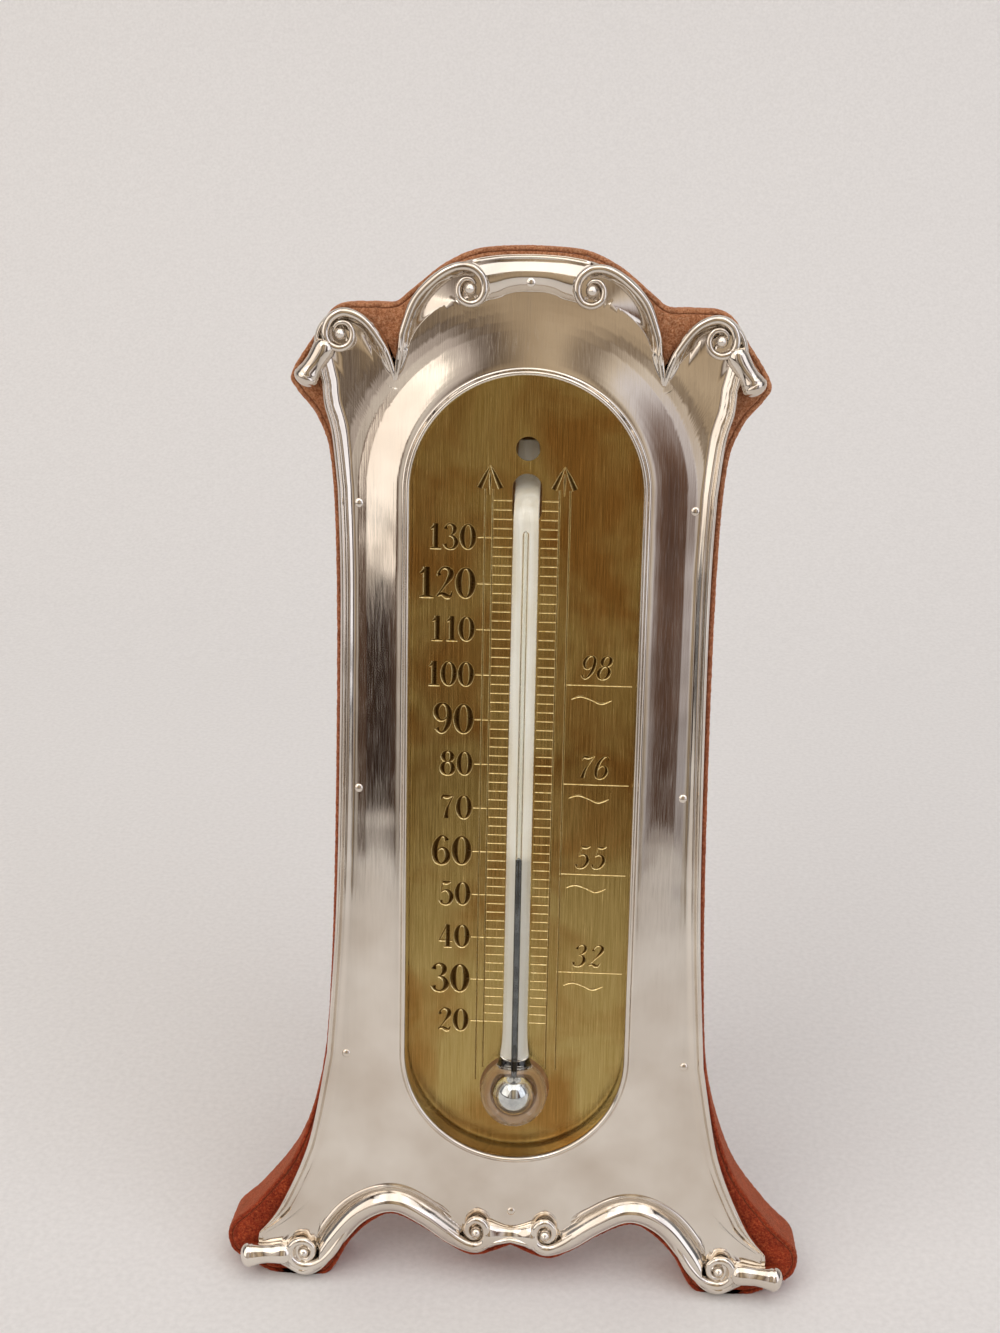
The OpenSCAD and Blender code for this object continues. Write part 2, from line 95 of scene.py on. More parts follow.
def on_strut(points):
    """Points given across, out and up from the hinge pin, along the open strut, in mm."""
    x, out, up = np.asarray(points, float).reshape(-1, 3).T
    back = out * math.cos(OPEN) - up * math.sin(OPEN) + PIN_OUT - BACK_N
    rise = out * math.sin(OPEN) + up * math.cos(OPEN) + HINGE_H
    return lay(x, -back, rise)


def lay(x, n, h, frame_of=on_board):
    """Places for rows of numbers across, forwards and up; a single number serves a whole row."""
    return frame_of(np.stack(np.broadcast_arrays(x, n, h), axis=1))


def curve_through(points, gap):
    """A smooth curve through points of any number of columns, resampled to an even gap."""
    p = np.asarray(points, float)
    dense = []
    for i in range(len(p) - 1):
        a, b, c, d = p[max(i - 1, 0)], p[i], p[i + 1], p[min(i + 2, len(p) - 1)]
        for t in np.linspace(0, 1, 24, endpoint=False):
            dense.append(0.5 * (2 * b + (c - a) * t + (2 * a - 5 * b + 4 * c - d) * t * t
                                + (3 * b - a - 3 * c + d) * t ** 3))
    dense = np.array(dense + [p[-1]])
    run = np.concatenate([[0], np.cumsum(np.linalg.norm(np.diff(dense[:, :2], axis=0), axis=1))])
    even = np.linspace(0, run[-1], max(2, math.ceil(run[-1] / gap)) + 1)
    return np.stack([np.interp(even, run, column) for column in dense.T], axis=1)


def both_halves(half):
    """The right half of a loop, from top middle to bottom middle, joined by its mirror image."""
    left = half[-2:0:-1].copy()
    left[:, 0] *= -1
    return np.concatenate([half, left])


def inward_normals(loop, blur):
    """Normals that point into a clockwise loop, blurred over a length so that points fan out,
    and the weights of that blur."""
    ahead, behind = np.roll(loop, -1, axis=0), np.roll(loop, 1, axis=0)
    t = ahead - behind
    t /= np.linalg.norm(t, axis=1)[:, None]
    normal = np.stack([t[:, 1], -t[:, 0]], axis=1)
    step = np.linalg.norm(loop - behind, axis=1)
    run = np.cumsum(step)
    total = run[-1]
    gap = np.abs(run[:, None] - run[None, :])
    weight = np.exp(-0.5 * (np.minimum(gap, total - gap) / blur) ** 2) * step[None, :]
    mixed = weight @ normal
    return mixed / np.linalg.norm(mixed, axis=1)[:, None], weight / weight.sum(axis=1)[:, None]


def stadium(codes, r):
    """Points on the window's right half, grown to radius r. Codes run from 0 at the top over 1
    and 2, the ends of the straight side, to 3 at the bottom."""
    a = np.asarray(codes, float)
    top = a < 1
    low = a > 2
    phi = np.where(top, a, np.where(low, a - 2, 0)) * math.pi / 2
    x = np.where(top, r * np.sin(phi), np.where(low, r * np.cos(phi), r))
    h = np.where(top, WINDOW_STRAIGHT / 2 + r * np.cos(phi),
                 np.where(low, -WINDOW_STRAIGHT / 2 - r * np.sin(phi),
                          WINDOW_STRAIGHT * (1.5 - a)))
    return np.stack([x, h + WINDOW_MID], axis=1)


# ---------------------------------------------------------------- modelling
def pick(piece):
    """Selects one piece only and makes it active."""
    bpy.ops.object.select_all(action="DESELECT")
    bpy.context.view_layer.objects.active = piece
    piece.select_set(True)


def edit(piece):
    pick(piece)
    bpy.ops.object.mode_set(mode="EDIT")


def ring_skin(name, rings, end):
    """A circle is shaped to the first ring and extruded to each ring that follows, in metres.
    end: "loop" joins the last ring to the first, "caps" fills both ends, "poles" gathers them."""
    count = len(rings[0])
    bpy.ops.mesh.primitive_circle_add(vertices=count, radius=MM)
    piece = bpy.context.object
    piece.name = piece.data.name = name
    edit(piece)
    bpy.ops.mesh.select_mode(type="EDGE")
    bpy.ops.mesh.select_all(action="SELECT")
    if end == "caps":
        bpy.ops.mesh.edge_face_add()
    form = bmesh.from_edit_mesh(piece.data)
    spot = form.verts.layers.int.new("spot")
    for i, v in enumerate(form.verts):
        v[spot] = i
        v.co = rings[0][i]
    for ring in rings[1:]:
        bpy.ops.mesh.extrude_region()
        form = bmesh.from_edit_mesh(piece.data)
        spot = form.verts.layers.int["spot"]
        for v in form.verts:
            if v.select:
                v.co = ring[v[spot]]
    form.verts.layers.int.remove(form.verts.layers.int["spot"])
    bmesh.update_edit_mesh(piece.data)
    if end != "caps":
        bpy.ops.mesh.select_all(action="SELECT")
        bpy.ops.mesh.remove_doubles(threshold=1e-7)
    bpy.ops.mesh.select_all(action="SELECT")
    bpy.ops.mesh.normals_make_consistent(inside=False)
    bpy.ops.object.mode_set(mode="OBJECT")
    return piece


def joined(pieces, name):
    pick(pieces[0])
    for piece in pieces[1:]:
        piece.select_set(True)
    if len(pieces) > 1:
        bpy.ops.object.join()
    pieces[0].name = pieces[0].data.name = name
    return pieces[0]


def smooth(piece, degrees):
    """Smooth shading, with edges sharper than the angle left sharp."""
    pick(piece)
    bpy.ops.object.shade_smooth_by_angle(angle=math.radians(degrees))
    return piece


def modified(piece, kind, **settings):
    """Adds a modifier with its settings and applies it."""
    modifier = piece.modifiers.new(kind, kind)
    for key, value in settings.items():
        setattr(modifier, key, value)
    pick(piece)
    bpy.ops.object.modifier_apply(modifier=modifier.name)
    return piece


def spun(name, section, place, count):
    """A turned shape: (radius, along) pairs, in mm, round the axis that place gives."""
    angles = np.linspace(0, 2 * math.pi, count, endpoint=False)
    rings = [place(np.cos(angles) * r, np.sin(angles) * r, a) for r, a in section]
    return ring_skin(name, rings, "poles")


def ridge(name, path, sides=12):
    """A ridge along a path of (x, h, radius, n) points on the board, round in section."""
    p = np.asarray(path, float)
    t = np.gradient(p[:, :2], axis=0)
    t /= np.linalg.norm(t, axis=1)[:, None]
    angles = np.linspace(0, 2 * math.pi, sides, endpoint=False)
    rings = []
    for (x, h, r, n), (tx, th) in zip(p, t):
        across = np.cos(angles) * r
        rings.append(lay(x - th * across, n + np.sin(angles) * r, h + tx * across))
    for spot, (x, h, _, n) in ((0, p[0]), (len(rings) + 1, p[-1])):
        rings.insert(spot, lay(np.full(sides, x), n, h))
    return ring_skin(name, rings, "poles")


def mirrored_copy(piece, name):
    """The same piece on the other side, with its own mesh."""
    pick(piece)
    bpy.ops.object.duplicate()
    twin = bpy.context.object
    twin.name = twin.data.name = name
    twin.scale[0] = -1
    bpy.ops.object.transform_apply(scale=True)
    edit(twin)
    bpy.ops.mesh.select_all(action="SELECT")
    bpy.ops.mesh.normals_make_consistent(inside=False)
    bpy.ops.object.mode_set(mode="OBJECT")
    return twin


# ---------------------------------------------------------------- silver front
# Right half of the outline: across, up, roll (1) or bead (0), roll width, dish width. The side
# has a bead and no dish
CREST = [(0, 186.5, 1, 6.0, 0), (2.5, 186.44, 1, 6.05, 0), (4.5, 186.33, 1, 6.4, 0),
         (6, 186.2, 1, 6.8, 0), (9, 185.7, 1, 7.0, 5.0), (11.5, 185.0, 0, 6.8, 5.8),
         (16, 183.1, 0, 0, 5.6), (19.5, 179.3, 0, 0, 4.2),
         (21.7, 174.1, 0, 0, 2.6), (22.3, 166.3, 0, 0, 0.5)]
CORNER = [(22.3, 166.3, 0, 0, 0.5), (23.8, 171.7, 0, 0, 2.4), (26.4, 175.5, 0, 0, 3.8),
          (31.4, 177.3, 0, 0, 3.6), (34.8, 174.9, 0, 0, 1.5), (35.9, 171.5, 0, 0, 0),
          (35.3, 168, 0, 0, 0), (34.6, 165, 0, 0, 0)]
SIDE_TOP = [(34.6, 165), (34.2, 161.3), (32.9, 156.5), (31.9, 147.5)]
SIDE = [(31.9, 147.5), (31.4, 129.5), (31.7, 92.5), (32.4, 68), (33.9, 45)]
SIDE_FOOT = [(33.9, 45), (37.3, 27.5), (42.7, 14.6), (46.6, 8.6)]
FOOT = [(46.6, 8.6, 0, 0, 0), (46.6, 6.4, 0, 2, 0), (44.6, 3.9, 0.4, 2.6, 0), (41.6, 1.7, 1, 3, 0),
        (38.2, 0.25, 1, 3.2, 0), (34.8, 1.9, 1, 3.6, 0), (30.8, 7.3, 1, 4.4, 0),
        (26.8, 11.9, 1, 4.6, 0), (21.9, 13.9, 1, 4.6, 0), (16.8, 11.7, 1, 4.4, 0),
        (11.3, 8, 1, 4.2, 0), (6.5, 6.4, 1, 3.2, 0), (3.2, 8, 1, 2.6, 0), (0, 8.9, 1, 2.4, 0)]
# Places on the outline and the place on the window's edge that each is joined to
MATCHES = [((0, 186.5), 0), ((6, 186.2), 0.12), ((9, 185.7), 0.16), ((11.5, 185), 0.19),
           ((16, 183.1), 0.25), ((19.5, 179.3), 0.33), ((21.7, 174.1), 0.42),
           ((21.95, 170), 0.49), ((22.2, 167.3), 0.55), ((22.3, 166.3), 0.585),
           ((22.5, 167.2), 0.61), ((22.9, 169.2), 0.635), ((23.8, 171.7), 0.655),
           ((26.4, 175.5), 0.68), ((31.4, 177.3), 0.70), ((35.3, 168), 0.75),
           ((34.2, 161.3), 0.81), ((32.9, 156.5), 0.88), ((31.9, 147.5), 1.0),
           ((31.4, 129.5), 1.18), ((31.7, 92.5), 1.545), ((32.4, 68), 1.79),
           ((33.9, 45), 2.03), ((37.3, 27.5), 2.33), ((42.7, 14.6), 2.43), ((46.6, 8.6), 2.46),
           ((38.2, 0.25), 2.48), ((30.8, 7.3), 2.505), ((26.8, 11.9), 2.54),
           ((21.9, 13.9), 2.60), ((16.8, 11.7), 2.70), ((11.3, 8), 2.80), ((6.5, 6.4), 2.89),
           ((0, 8.9), 3)]
# How far the first rings run in from the outline: 1.25 times the roll's width where there is one,
# less in the lobes, where they would cross
REACHES = [((0, 186.5), 7.5), ((2.5, 186.44), 7.56), ((4.5, 186.33), 8.0),
           ((6, 186.2), 8.5), ((9, 185.7), 8.6), ((11.5, 185), 7.0),
           ((16, 183.1), 5.2), ((19.5, 179.3), 4.8), ((21.7, 174.1), 3.4), ((22.3, 166.3), 2.0),
           ((23.8, 171.7), 2.5), ((26.4, 175.5), 3.2), ((31.4, 177.3), 2.8), ((35.3, 170), 2.4),
           ((34.2, 161.3), 4.0), ((32.9, 156.5), 5.2), ((33.9, 45), 5.2), ((42.7, 14.6), 3.4),
           ((46.6, 8.6), 0.8), ((44.6, 3.9), 0.8), ((41.6, 1.7), 1.5), ((38.2, 0.25), 2.0),
           ((34.8, 1.9), 2.6), ((32.8, 4.4), 4.0), ((30.8, 7.3), 5.5), ((26.8, 11.9), 5.75),
           ((21.9, 13.9), 5.75), ((16.8, 11.7), 5.5), ((14, 9.7), 5.3), ((11.3, 8), 4.6),
           ((9, 7), 3.2), ((6.5, 6.4), 1.8), ((3.2, 8), 1.7), ((0, 8.9), 2.6)]
# Places of the rings, finest where the bead or the roll's edge is: outward ones as shares of
# their reach, out of 5.2, and those round the window in mm from its edge
RIM_STEPS = [0, 0.03, 0.12, 0.25, 0.4, 0.55, 0.7, 0.85, 1.0, 1.1, 1.2, 1.32, 1.5, 1.75, 2.05,
             2.35, 2.65, 2.95, 3.25, 3.5, 3.7, 3.9, 4.05, 4.16, 4.26, 4.37, 4.5, 4.64, 4.78,
             4.95, 5.2]
WINDOW_STEPS = [6.2, 5.6, 5.0, 4.4, 3.9, 3.4, 2.9, 2.5, 2.1, 1.8, 1.6, 1.45, 1.35, 1.25, 1.15,
                1.05, 0.95, 0.85, 0.72, 0.6, 0.48, 0.36, 0.25, 0.16, 0.08, 0.03]
# Rings between those two groups, and how many times their places are evened out
MIDDLE_RINGS = 18
EVENING_ROUNDS = 1400
# Height over the plate at distances from the window's edge: bezel bead, groove, slope and field
FIELD = np.array([(0.0, 4.3), (0.03, 4.5), (0.08, 4.72), (0.16, 4.88), (0.28, 5.03), (0.42, 5.12),
                  (0.55, 5.14), (0.7, 5.08), (0.85, 4.93), (1.0, 4.72), (1.15, 4.54),
                  (1.3, 4.44), (1.5, 4.4), (1.8, 4.37), (2.2, 4.3), (3.0, 4.11), (4.0, 3.85),
                  (5.0, 3.58), (6.2, 3.26), (7.5, 2.93), (9, 2.63), (10.5, 2.42), (12, 2.31),
                  (14, 2.26), (20, 2.25), (60, 2.25)])
# Height of the beaded rim at distances from the outline
BEAD = np.array([(0, 0.85), (0.03, 2.9), (0.12, 3.35), (0.25, 3.66), (0.4, 3.85), (0.58, 3.93),
                 (0.75, 3.86), (0.92, 3.62), (1.05, 3.3), (1.15, 3.02), (1.25, 2.93),
                 (1.4, 3.0), (1.6, 3.1), (1.9, 3.06), (2.4, 2.85), (3.2, 2.45)])
SCROLL_FLOOR_R = 3.2
# The bottom of the notch and the point of the foot, where the bead runs out
CUSP = (22.3, 166.3)
FOOT_POINT = (46.6, 8.6)


def nearest_values(loop, table):
    """Values given at places of the right half, interpolated along the loop from top to bottom."""
    half = len(loop) // 2
    steps = np.linalg.norm(np.diff(loop[:half + 1], axis=0), axis=1)
    run = np.concatenate([[0], np.cumsum(steps)])
    at, start = [], 0
    for place, _ in table:
        gaps = np.linalg.norm(loop[start:half + 1] - np.array(place), axis=1)
        start += int(np.argmin(gaps[:max(60, len(gaps))] + np.arange(len(gaps)) * 1e-4))
        at.append(run[start])
    right = np.interp(run, at, [value for _, value in table])
    return np.concatenate([right, right[-2:0:-1]])


def smoothstep(low, high, value):
    t = np.clip((value - low) / (high - low), 0, 1)
    return t * t * (3 - 2 * t)


def window_loop(codes, grow):
    """Points round the window for codes of the right half, then the left, as the outline runs."""
    half = len(codes) // 2
    p = stadium(codes, WINDOW_R + grow)
    p[half + 1:, 0] *= -1
    return p


def away(x, h, place):
    """Distances from a place that is there on both sides."""
    return np.hypot(np.abs(x) - place[0], h - place[1])


def silver_height(x, h, kind, roll_w, dish_w, d):
    """Height of the silver over the plate's face, d from its outline, where the nearest outline
    has a roll (kind 1) or a bead (0), of a width, and a dish of a width beside it."""
    w = np.hypot(x, np.maximum(np.abs(h - WINDOW_MID) - WINDOW_STRAIGHT / 2, 0)) - WINDOW_R
    field = np.interp(w, FIELD[:, 0], FIELD[:, 1])
    dish = np.clip((dish_w - d) / np.maximum(dish_w, 0.1), 0, 1) ** 0.8 * np.minimum(dish_w / 3, 1)
    low = field - 1.15 * dish
    hold = 3.0 - 1.3 * np.minimum(dish_w / 2, 1)
    # Towards the notch and the foot's point the bead tapers, in width and in height
    taper = np.minimum(np.clip(away(x, h, CUSP) / 4.5, 0.06, 1) ** 0.7,
                       np.clip(away(x, h, FOOT_POINT) / 8, 0.2, 1) ** 0.8)
    keep = (1 - smoothstep(1.15, hold, d / taper)) * taper
    beaded = low + (np.interp(d / taper, BEAD[:, 0], BEAD[:, 1]) - low) * keep
    past = d / np.maximum(roll_w, 0.1)
    u = np.clip(past, 0, 1)
    v = 2 * u - 1
    round_top = np.where(v < 0, np.sqrt(np.clip(1 - v * v, 0, 1)),
                         np.cos(np.clip(v, 0, 1) * math.pi / 2) ** 0.9)
    roll = SHEET_N + 1.35 * u + 2.7 * round_top
    line = (0.25 * np.exp(-((past - 1.15) / 0.06) ** 2)
            - 0.35 * np.exp(-((past - 1.05) / 0.045) ** 2))
    # Only the feet's roll has a line beside it, and it dies out before it meets the middle scroll
    line = line * smoothstep(4.5, 8, away(x, h, SCROLLS["centre"])) * (h < WINDOW_MID)
    rolled = np.where(u < 1, np.maximum(roll, field + line), field + line)
    height = kind * rolled + (1 - kind) * beaded
    low_places = [(FOOT_CORNER, 1.8, 3.4, FOOT_CORNER_N)]
    low_places += [(scroll, SCROLL_FLOOR_R - 0.9, SCROLL_FLOOR_R, SCROLL_FLOOR_N)
                   for scroll in SCROLLS.values()]
    for place, inner, outer, n in low_places:
        share = 1 - smoothstep(inner, outer, away(x, h, place))
        height = height + (np.minimum(height, n) - height) * share
    return height


def untangled(net):
    """Evens out a closed net of rings between its first and last, so no cell folds over."""
    for _ in range(EVENING_ROUNDS):
        mid, up, down = net[1:-1], net[2:], net[:-2]
        right, left = np.roll(mid, -1, axis=1), np.roll(mid, 1, axis=1)
        along, across = (right - left) / 2, (up - down) / 2
        a, c = (across ** 2).sum(axis=2)[..., None], (along ** 2).sum(axis=2)[..., None]
        b = (along * across).sum(axis=2)[..., None]
        twist = (np.roll(up, -1, axis=1) - np.roll(up, 1, axis=1)
                 - np.roll(down, -1, axis=1) + np.roll(down, 1, axis=1)) / 2
        even = (a * (right + left) + c * (up + down) - b * twist) / (2 * (a + c) + 1e-12)
        net[1:-1] = mid + 0.8 * (even - mid)
    return net


def silver_sheet():
    """The pressed sheet, with the places and true normals of its front's points."""
    curves = [curve_through(CREST, 0.5), curve_through(CORNER, 0.42)]
    for side, gap in ((SIDE_TOP, 0.7), (SIDE, 1.3), (SIDE_FOOT, 0.8)):
        curves.append(curve_through([(x, h, 0, 0, 0) for x, h in side], gap))
    half = np.concatenate([curve[:-1] for curve in curves] + [curve_through(FOOT, 0.46)])
    # Six times as many points at the notch, where the rings fan out from one point
    fine = []
    for a, b in zip(half[:-1], half[1:]):
        parts = 6 if np.linalg.norm((a + b)[:2] / 2 - CUSP) < 1 else 1
        fine += [a + (b - a) * i / parts for i in range(parts)]
    loop = both_halves(np.array(fine + [half[-1]]))
    outline, kind, roll_w, dish_w = loop[:, :2], np.clip(loop[:, 2], 0, 1), loop[:, 3], loop[:, 4]
    inward, blur = inward_normals(outline, 0.7)
    reach = blur @ nearest_values(outline, REACHES)
    codes = nearest_values(outline, MATCHES)
    lifted, places, normals = [], [], []

    def add(points, height, shaded=False):
        lifted.append(board_place(points, height))
        if shaded:
            gap = 0.08
            slope = [(heights(points + step) - heights(points - step)) / (2 * gap)
                     for step in ([gap, 0], [0, gap])]
            lean = np.stack([-slope[0], np.ones(len(points)), -slope[1]], axis=1)
            # A wall steeper than 3 in 1 keeps the mesh's own normals
            lean[np.abs(lean).max(axis=1) > 3] = 0
            places.append(lifted[-1])
            normals.append(on_board(lean) - on_board(np.zeros((1, 3))))

    def heights(points):
        gaps = np.linalg.norm(points[:, None, :] - outline[None, :, :], axis=2)
        near = gaps.argmin(axis=1)
        return silver_height(points[:, 0], points[:, 1], kind[near], roll_w[near],
                             np.maximum(dish_w[near], 0), gaps.min(axis=1))

    for step in RIM_STEPS:
        at = outline + inward * (step * reach / RIM_STEPS[-1])[:, None]
        add(at, SHEET_N if step == 0 else heights(at), step > 0.5)
    start = outline + inward * reach[:, None]
    finish = window_loop(codes, WINDOW_STEPS[0])
    outer = window_loop(codes, WINDOW_STEPS[0] + 1) - finish
    span = np.clip(((start - finish) * outer).sum(axis=1), 0.2, None)[:, None] / 3
    middle = []
    for i in range(MIDDLE_RINGS + 1):
        t = i / MIDDLE_RINGS
        middle.append((1 - t) ** 3 * start
                      + 3 * (1 - t) ** 2 * t * (start + inward * span * 0.3)
                      + 3 * (1 - t) * t * t * (finish + outer * span) + t ** 3 * finish)
    for at in untangled(np.array(middle))[1:-1]:
        add(at, heights(at), True)
    for step in WINDOW_STEPS:
        at = window_loop(codes, step)
        add(at, heights(at), step > 0.5)
    # Down the window's wall to the plate, and back along the sheet's flat underside
    for grow, n in ((0, 4.3), (0, 3.4), (0, 1.8), (0, 0.03), (0.9, 0.03), (0.95, 0.86)):
        add(window_loop(codes, grow), n)
    add(outline, SHEET_N)
    return (ring_skin("silver_sheet", lifted, "loop"), np.concatenate(places),
            np.concatenate(normals))


# Ridges that curl into the scrolls: across, up, radius and height of the middle
RIDGES = {
    "crest": [(22.25, 165.2, 0.2, 2.25), (22.0, 167.0, 0.45, 2.55), (21.5, 170.6, 0.57, 3.05),
              (20.9, 174.0, 0.6, 3.4), (18.95, 178.9, 0.68, 3.45), (15.6, 182.4, 0.72, 3.5),
              (12.6, 184.1, 0.74, 3.6), (10.0, 184.25, 0.74, 3.7), (8.1, 182.9, 0.72, 3.75),
              (7.55, 180.9, 0.68, 3.75), (8.3, 179.0, 0.64, 3.7), (10.0, 178.35, 0.6, 3.65),
              (11.6, 179.2, 0.55, 3.6), (11.95, 180.9, 0.5, 3.55), (11.15, 182.2, 0.44, 3.5),
              (9.9, 182.3, 0.36, 3.4), (9.2, 181.5, 0.26, 3.3)],
    "corner": [(22.35, 165.2, 0.2, 2.25), (22.7, 167.0, 0.45, 2.55), (23.5, 169.6, 0.57, 3.05),
               (24.5, 171.6, 0.6, 3.4), (26.8, 174.7, 0.7, 3.5), (29.0, 176.2, 0.75, 3.55),
               (31.2, 176.55, 0.76, 3.65), (33.1, 175.4, 0.74, 3.7), (33.85, 173.3, 0.7, 3.75),
               (33.2, 171.4, 0.66, 3.75), (31.4, 170.7, 0.62, 3.7), (29.8, 171.5, 0.58, 3.65),
               (29.3, 173.2, 0.54, 3.6), (30.1, 174.7, 0.48, 3.55), (31.5, 174.9, 0.42, 3.5),
               (32.4, 174.1, 0.34, 3.4), (32.3, 173.3, 0.25, 3.3)],
    "foot": [(29.6, 11.6, 0.5, 2.9), (31.2, 8.9, 0.85, 3.2), (33.0, 6.0, 0.95, 3.4),
             (35.4, 3.7, 0.95, 3.5), (38.2, 3.0, 0.9, 3.6), (40.2, 4.1, 0.84, 3.7),
             (40.7, 6.0, 0.8, 3.75), (39.7, 7.7, 0.76, 3.75), (37.9, 8.0, 0.7, 3.7),
             (36.5, 6.9, 0.62, 3.65), (36.5, 5.3, 0.54, 3.6), (37.5, 4.3, 0.46, 3.5),
             (38.7, 4.5, 0.34, 3.4), (39.0, 5.2, 0.25, 3.3)],
    "centre": [(15.6, 14.0, 0.5, 2.9), (12.6, 11.9, 0.9, 3.2), (9.6, 9.7, 1.0, 3.4),
               (7.0, 8.6, 0.95, 3.5), (5.0, 9.3, 0.88, 3.6), (4.3, 11.2, 0.82, 3.65),
               (4.9, 13.2, 0.76, 3.65), (6.5, 13.9, 0.7, 3.65), (7.8, 12.8, 0.62, 3.6),
               (7.9, 11.2, 0.54, 3.55), (6.9, 10.1, 0.44, 3.45), (5.9, 10.5, 0.32, 3.4),
               (5.8, 11.1, 0.24, 3.3)],
}
# Horns: root, tip and thickness. Their section is radius in thicknesses and share of the length,
# and their cap is radius in thicknesses and mm past the tip
HORNS = {"corner": ((33.3, 171.9), (37.0, 165.9), 1.05), "foot": ((40.4, 5.4), (48.3, 4.6), 1.15)}
HORN_SECTION = [(0.0, 0.0), (1.3, 0.0), (1.75, 0.12), (1.85, 0.25), (1.72, 0.42), (1.62, 0.58),
                (1.7, 0.74), (1.9, 0.86), (2.02, 0.92), (1.96, 0.945), (2.1, 0.975), (2.14, 1.0)]
HORN_CAP = [(2.1, 0.35), (1.9, 0.8), (1.5, 1.2), (0.9, 1.5), (0.0, 1.62)]
HORN_N = 3.0
BOSS_N = 3.3


def boss(name, at, r):
    """The ball in the middle of a scroll, with a small pip."""
    section = [(0, -0.9), (0.8, -0.7), (1, 0), (0.93, 0.4), (0.75, 0.7), (0.45, 0.92),
               (0.28, 1.0), (0.16, 1.12), (0, 1.16)]
    return spun(name, [(r * a, r * b) for a, b in section],
                lambda u, v, a: lay(at[0] + u, BOSS_N + a, at[1] + v), 20)


def horn(name, root, tip, thick):
    root, tip = np.array(root, float), np.array(tip, float)
    length = np.linalg.norm(tip - root)
    along = (tip - root) / length
    side = np.array([along[1], -along[0]])
    section = [(r * thick, t * length) for r, t in HORN_SECTION]
    section += [(r * thick, length + t) for r, t in HORN_CAP]

    def place(u, v, a):
        flat = root + along * a + side * u[:, None]
        return lay(flat[:, 0], HORN_N + v, flat[:, 1])
    return spun(name, section, place, 28)


def centre_bar():
    """The waisted bar between the two middle scrolls."""
    section = [(0, -5.0), (1.9, -5.0), (2.5, -4.4), (2.4, -3.6), (1.9, -2.4), (1.5, -1.2),
               (1.36, 0)]
    section += [(r, -a) for r, a in section[-2::-1]]
    return spun("centre_bar", section, lambda u, v, a: lay(a, 2.6 + u * 0.8, 10.6 + v * 1.05), 28)


def silver_front():
    sheet, places, normals = silver_sheet()
    parts = [sheet, centre_bar()]
    for kind, path in RIDGES.items():
        fine = curve_through(path, 0.28)
        right = [ridge(kind + "_ridge", fine), boss(kind + "_boss", SCROLLS[kind], 1.08)]
        if kind in HORNS:
            right.append(horn(kind + "_horn", *HORNS[kind]))
        for part in right:
            parts += [part, mirrored_copy(part, part.name + "_left")]
    front = smooth(joined(parts, "silver_front_sheet"), 42)
    # The pressed sheet is shaded by its true slope, so that reflections run smoothly over it
    tree = KDTree(len(places))
    for i, place in enumerate(places):
        tree.insert(place, i)
    tree.balance()
    wanted = np.zeros((len(front.data.vertices), 3))
    for v in front.data.vertices:
        _, i, gap = tree.find(v.co)
        lean = Vector(normals[i])
        if gap < SAME_PLACE and lean.length > 0 and lean.normalized().dot(v.normal) > 0.6:
            wanted[v.index] = lean.normalized()
    front.data.normals_split_custom_set_from_vertices([tuple(v) for v in wanted])
    return front


# ---------------------------------------------------------------- scale plate
def cad_copy(node, name, ease):
    """A copy of a CAD node with its triangles merged into faces and its edges eased, in mm."""
    source = bpy.data.objects[node]
    copy = source.copy()
    copy.data = source.data.copy()
    copy.name = copy.data.name = name
    bpy.context.collection.objects.link(copy)
    for key in list(copy.keys()):
        del copy[key]
    copy.parent = None
    edit(copy)
    bpy.ops.mesh.select_all(action="SELECT")
    bpy.ops.mesh.remove_doubles(threshold=SAME_PLACE)
    bpy.ops.mesh.dissolve_limited(angle_limit=math.radians(2))
    bpy.ops.mesh.normals_make_consistent(inside=False)
    bpy.ops.object.mode_set(mode="OBJECT")
    copy.data.materials.clear()
    return modified(copy, "BEVEL", width=ease * MM, segments=3, limit_method="ANGLE",
                    angle_limit=math.radians(30))


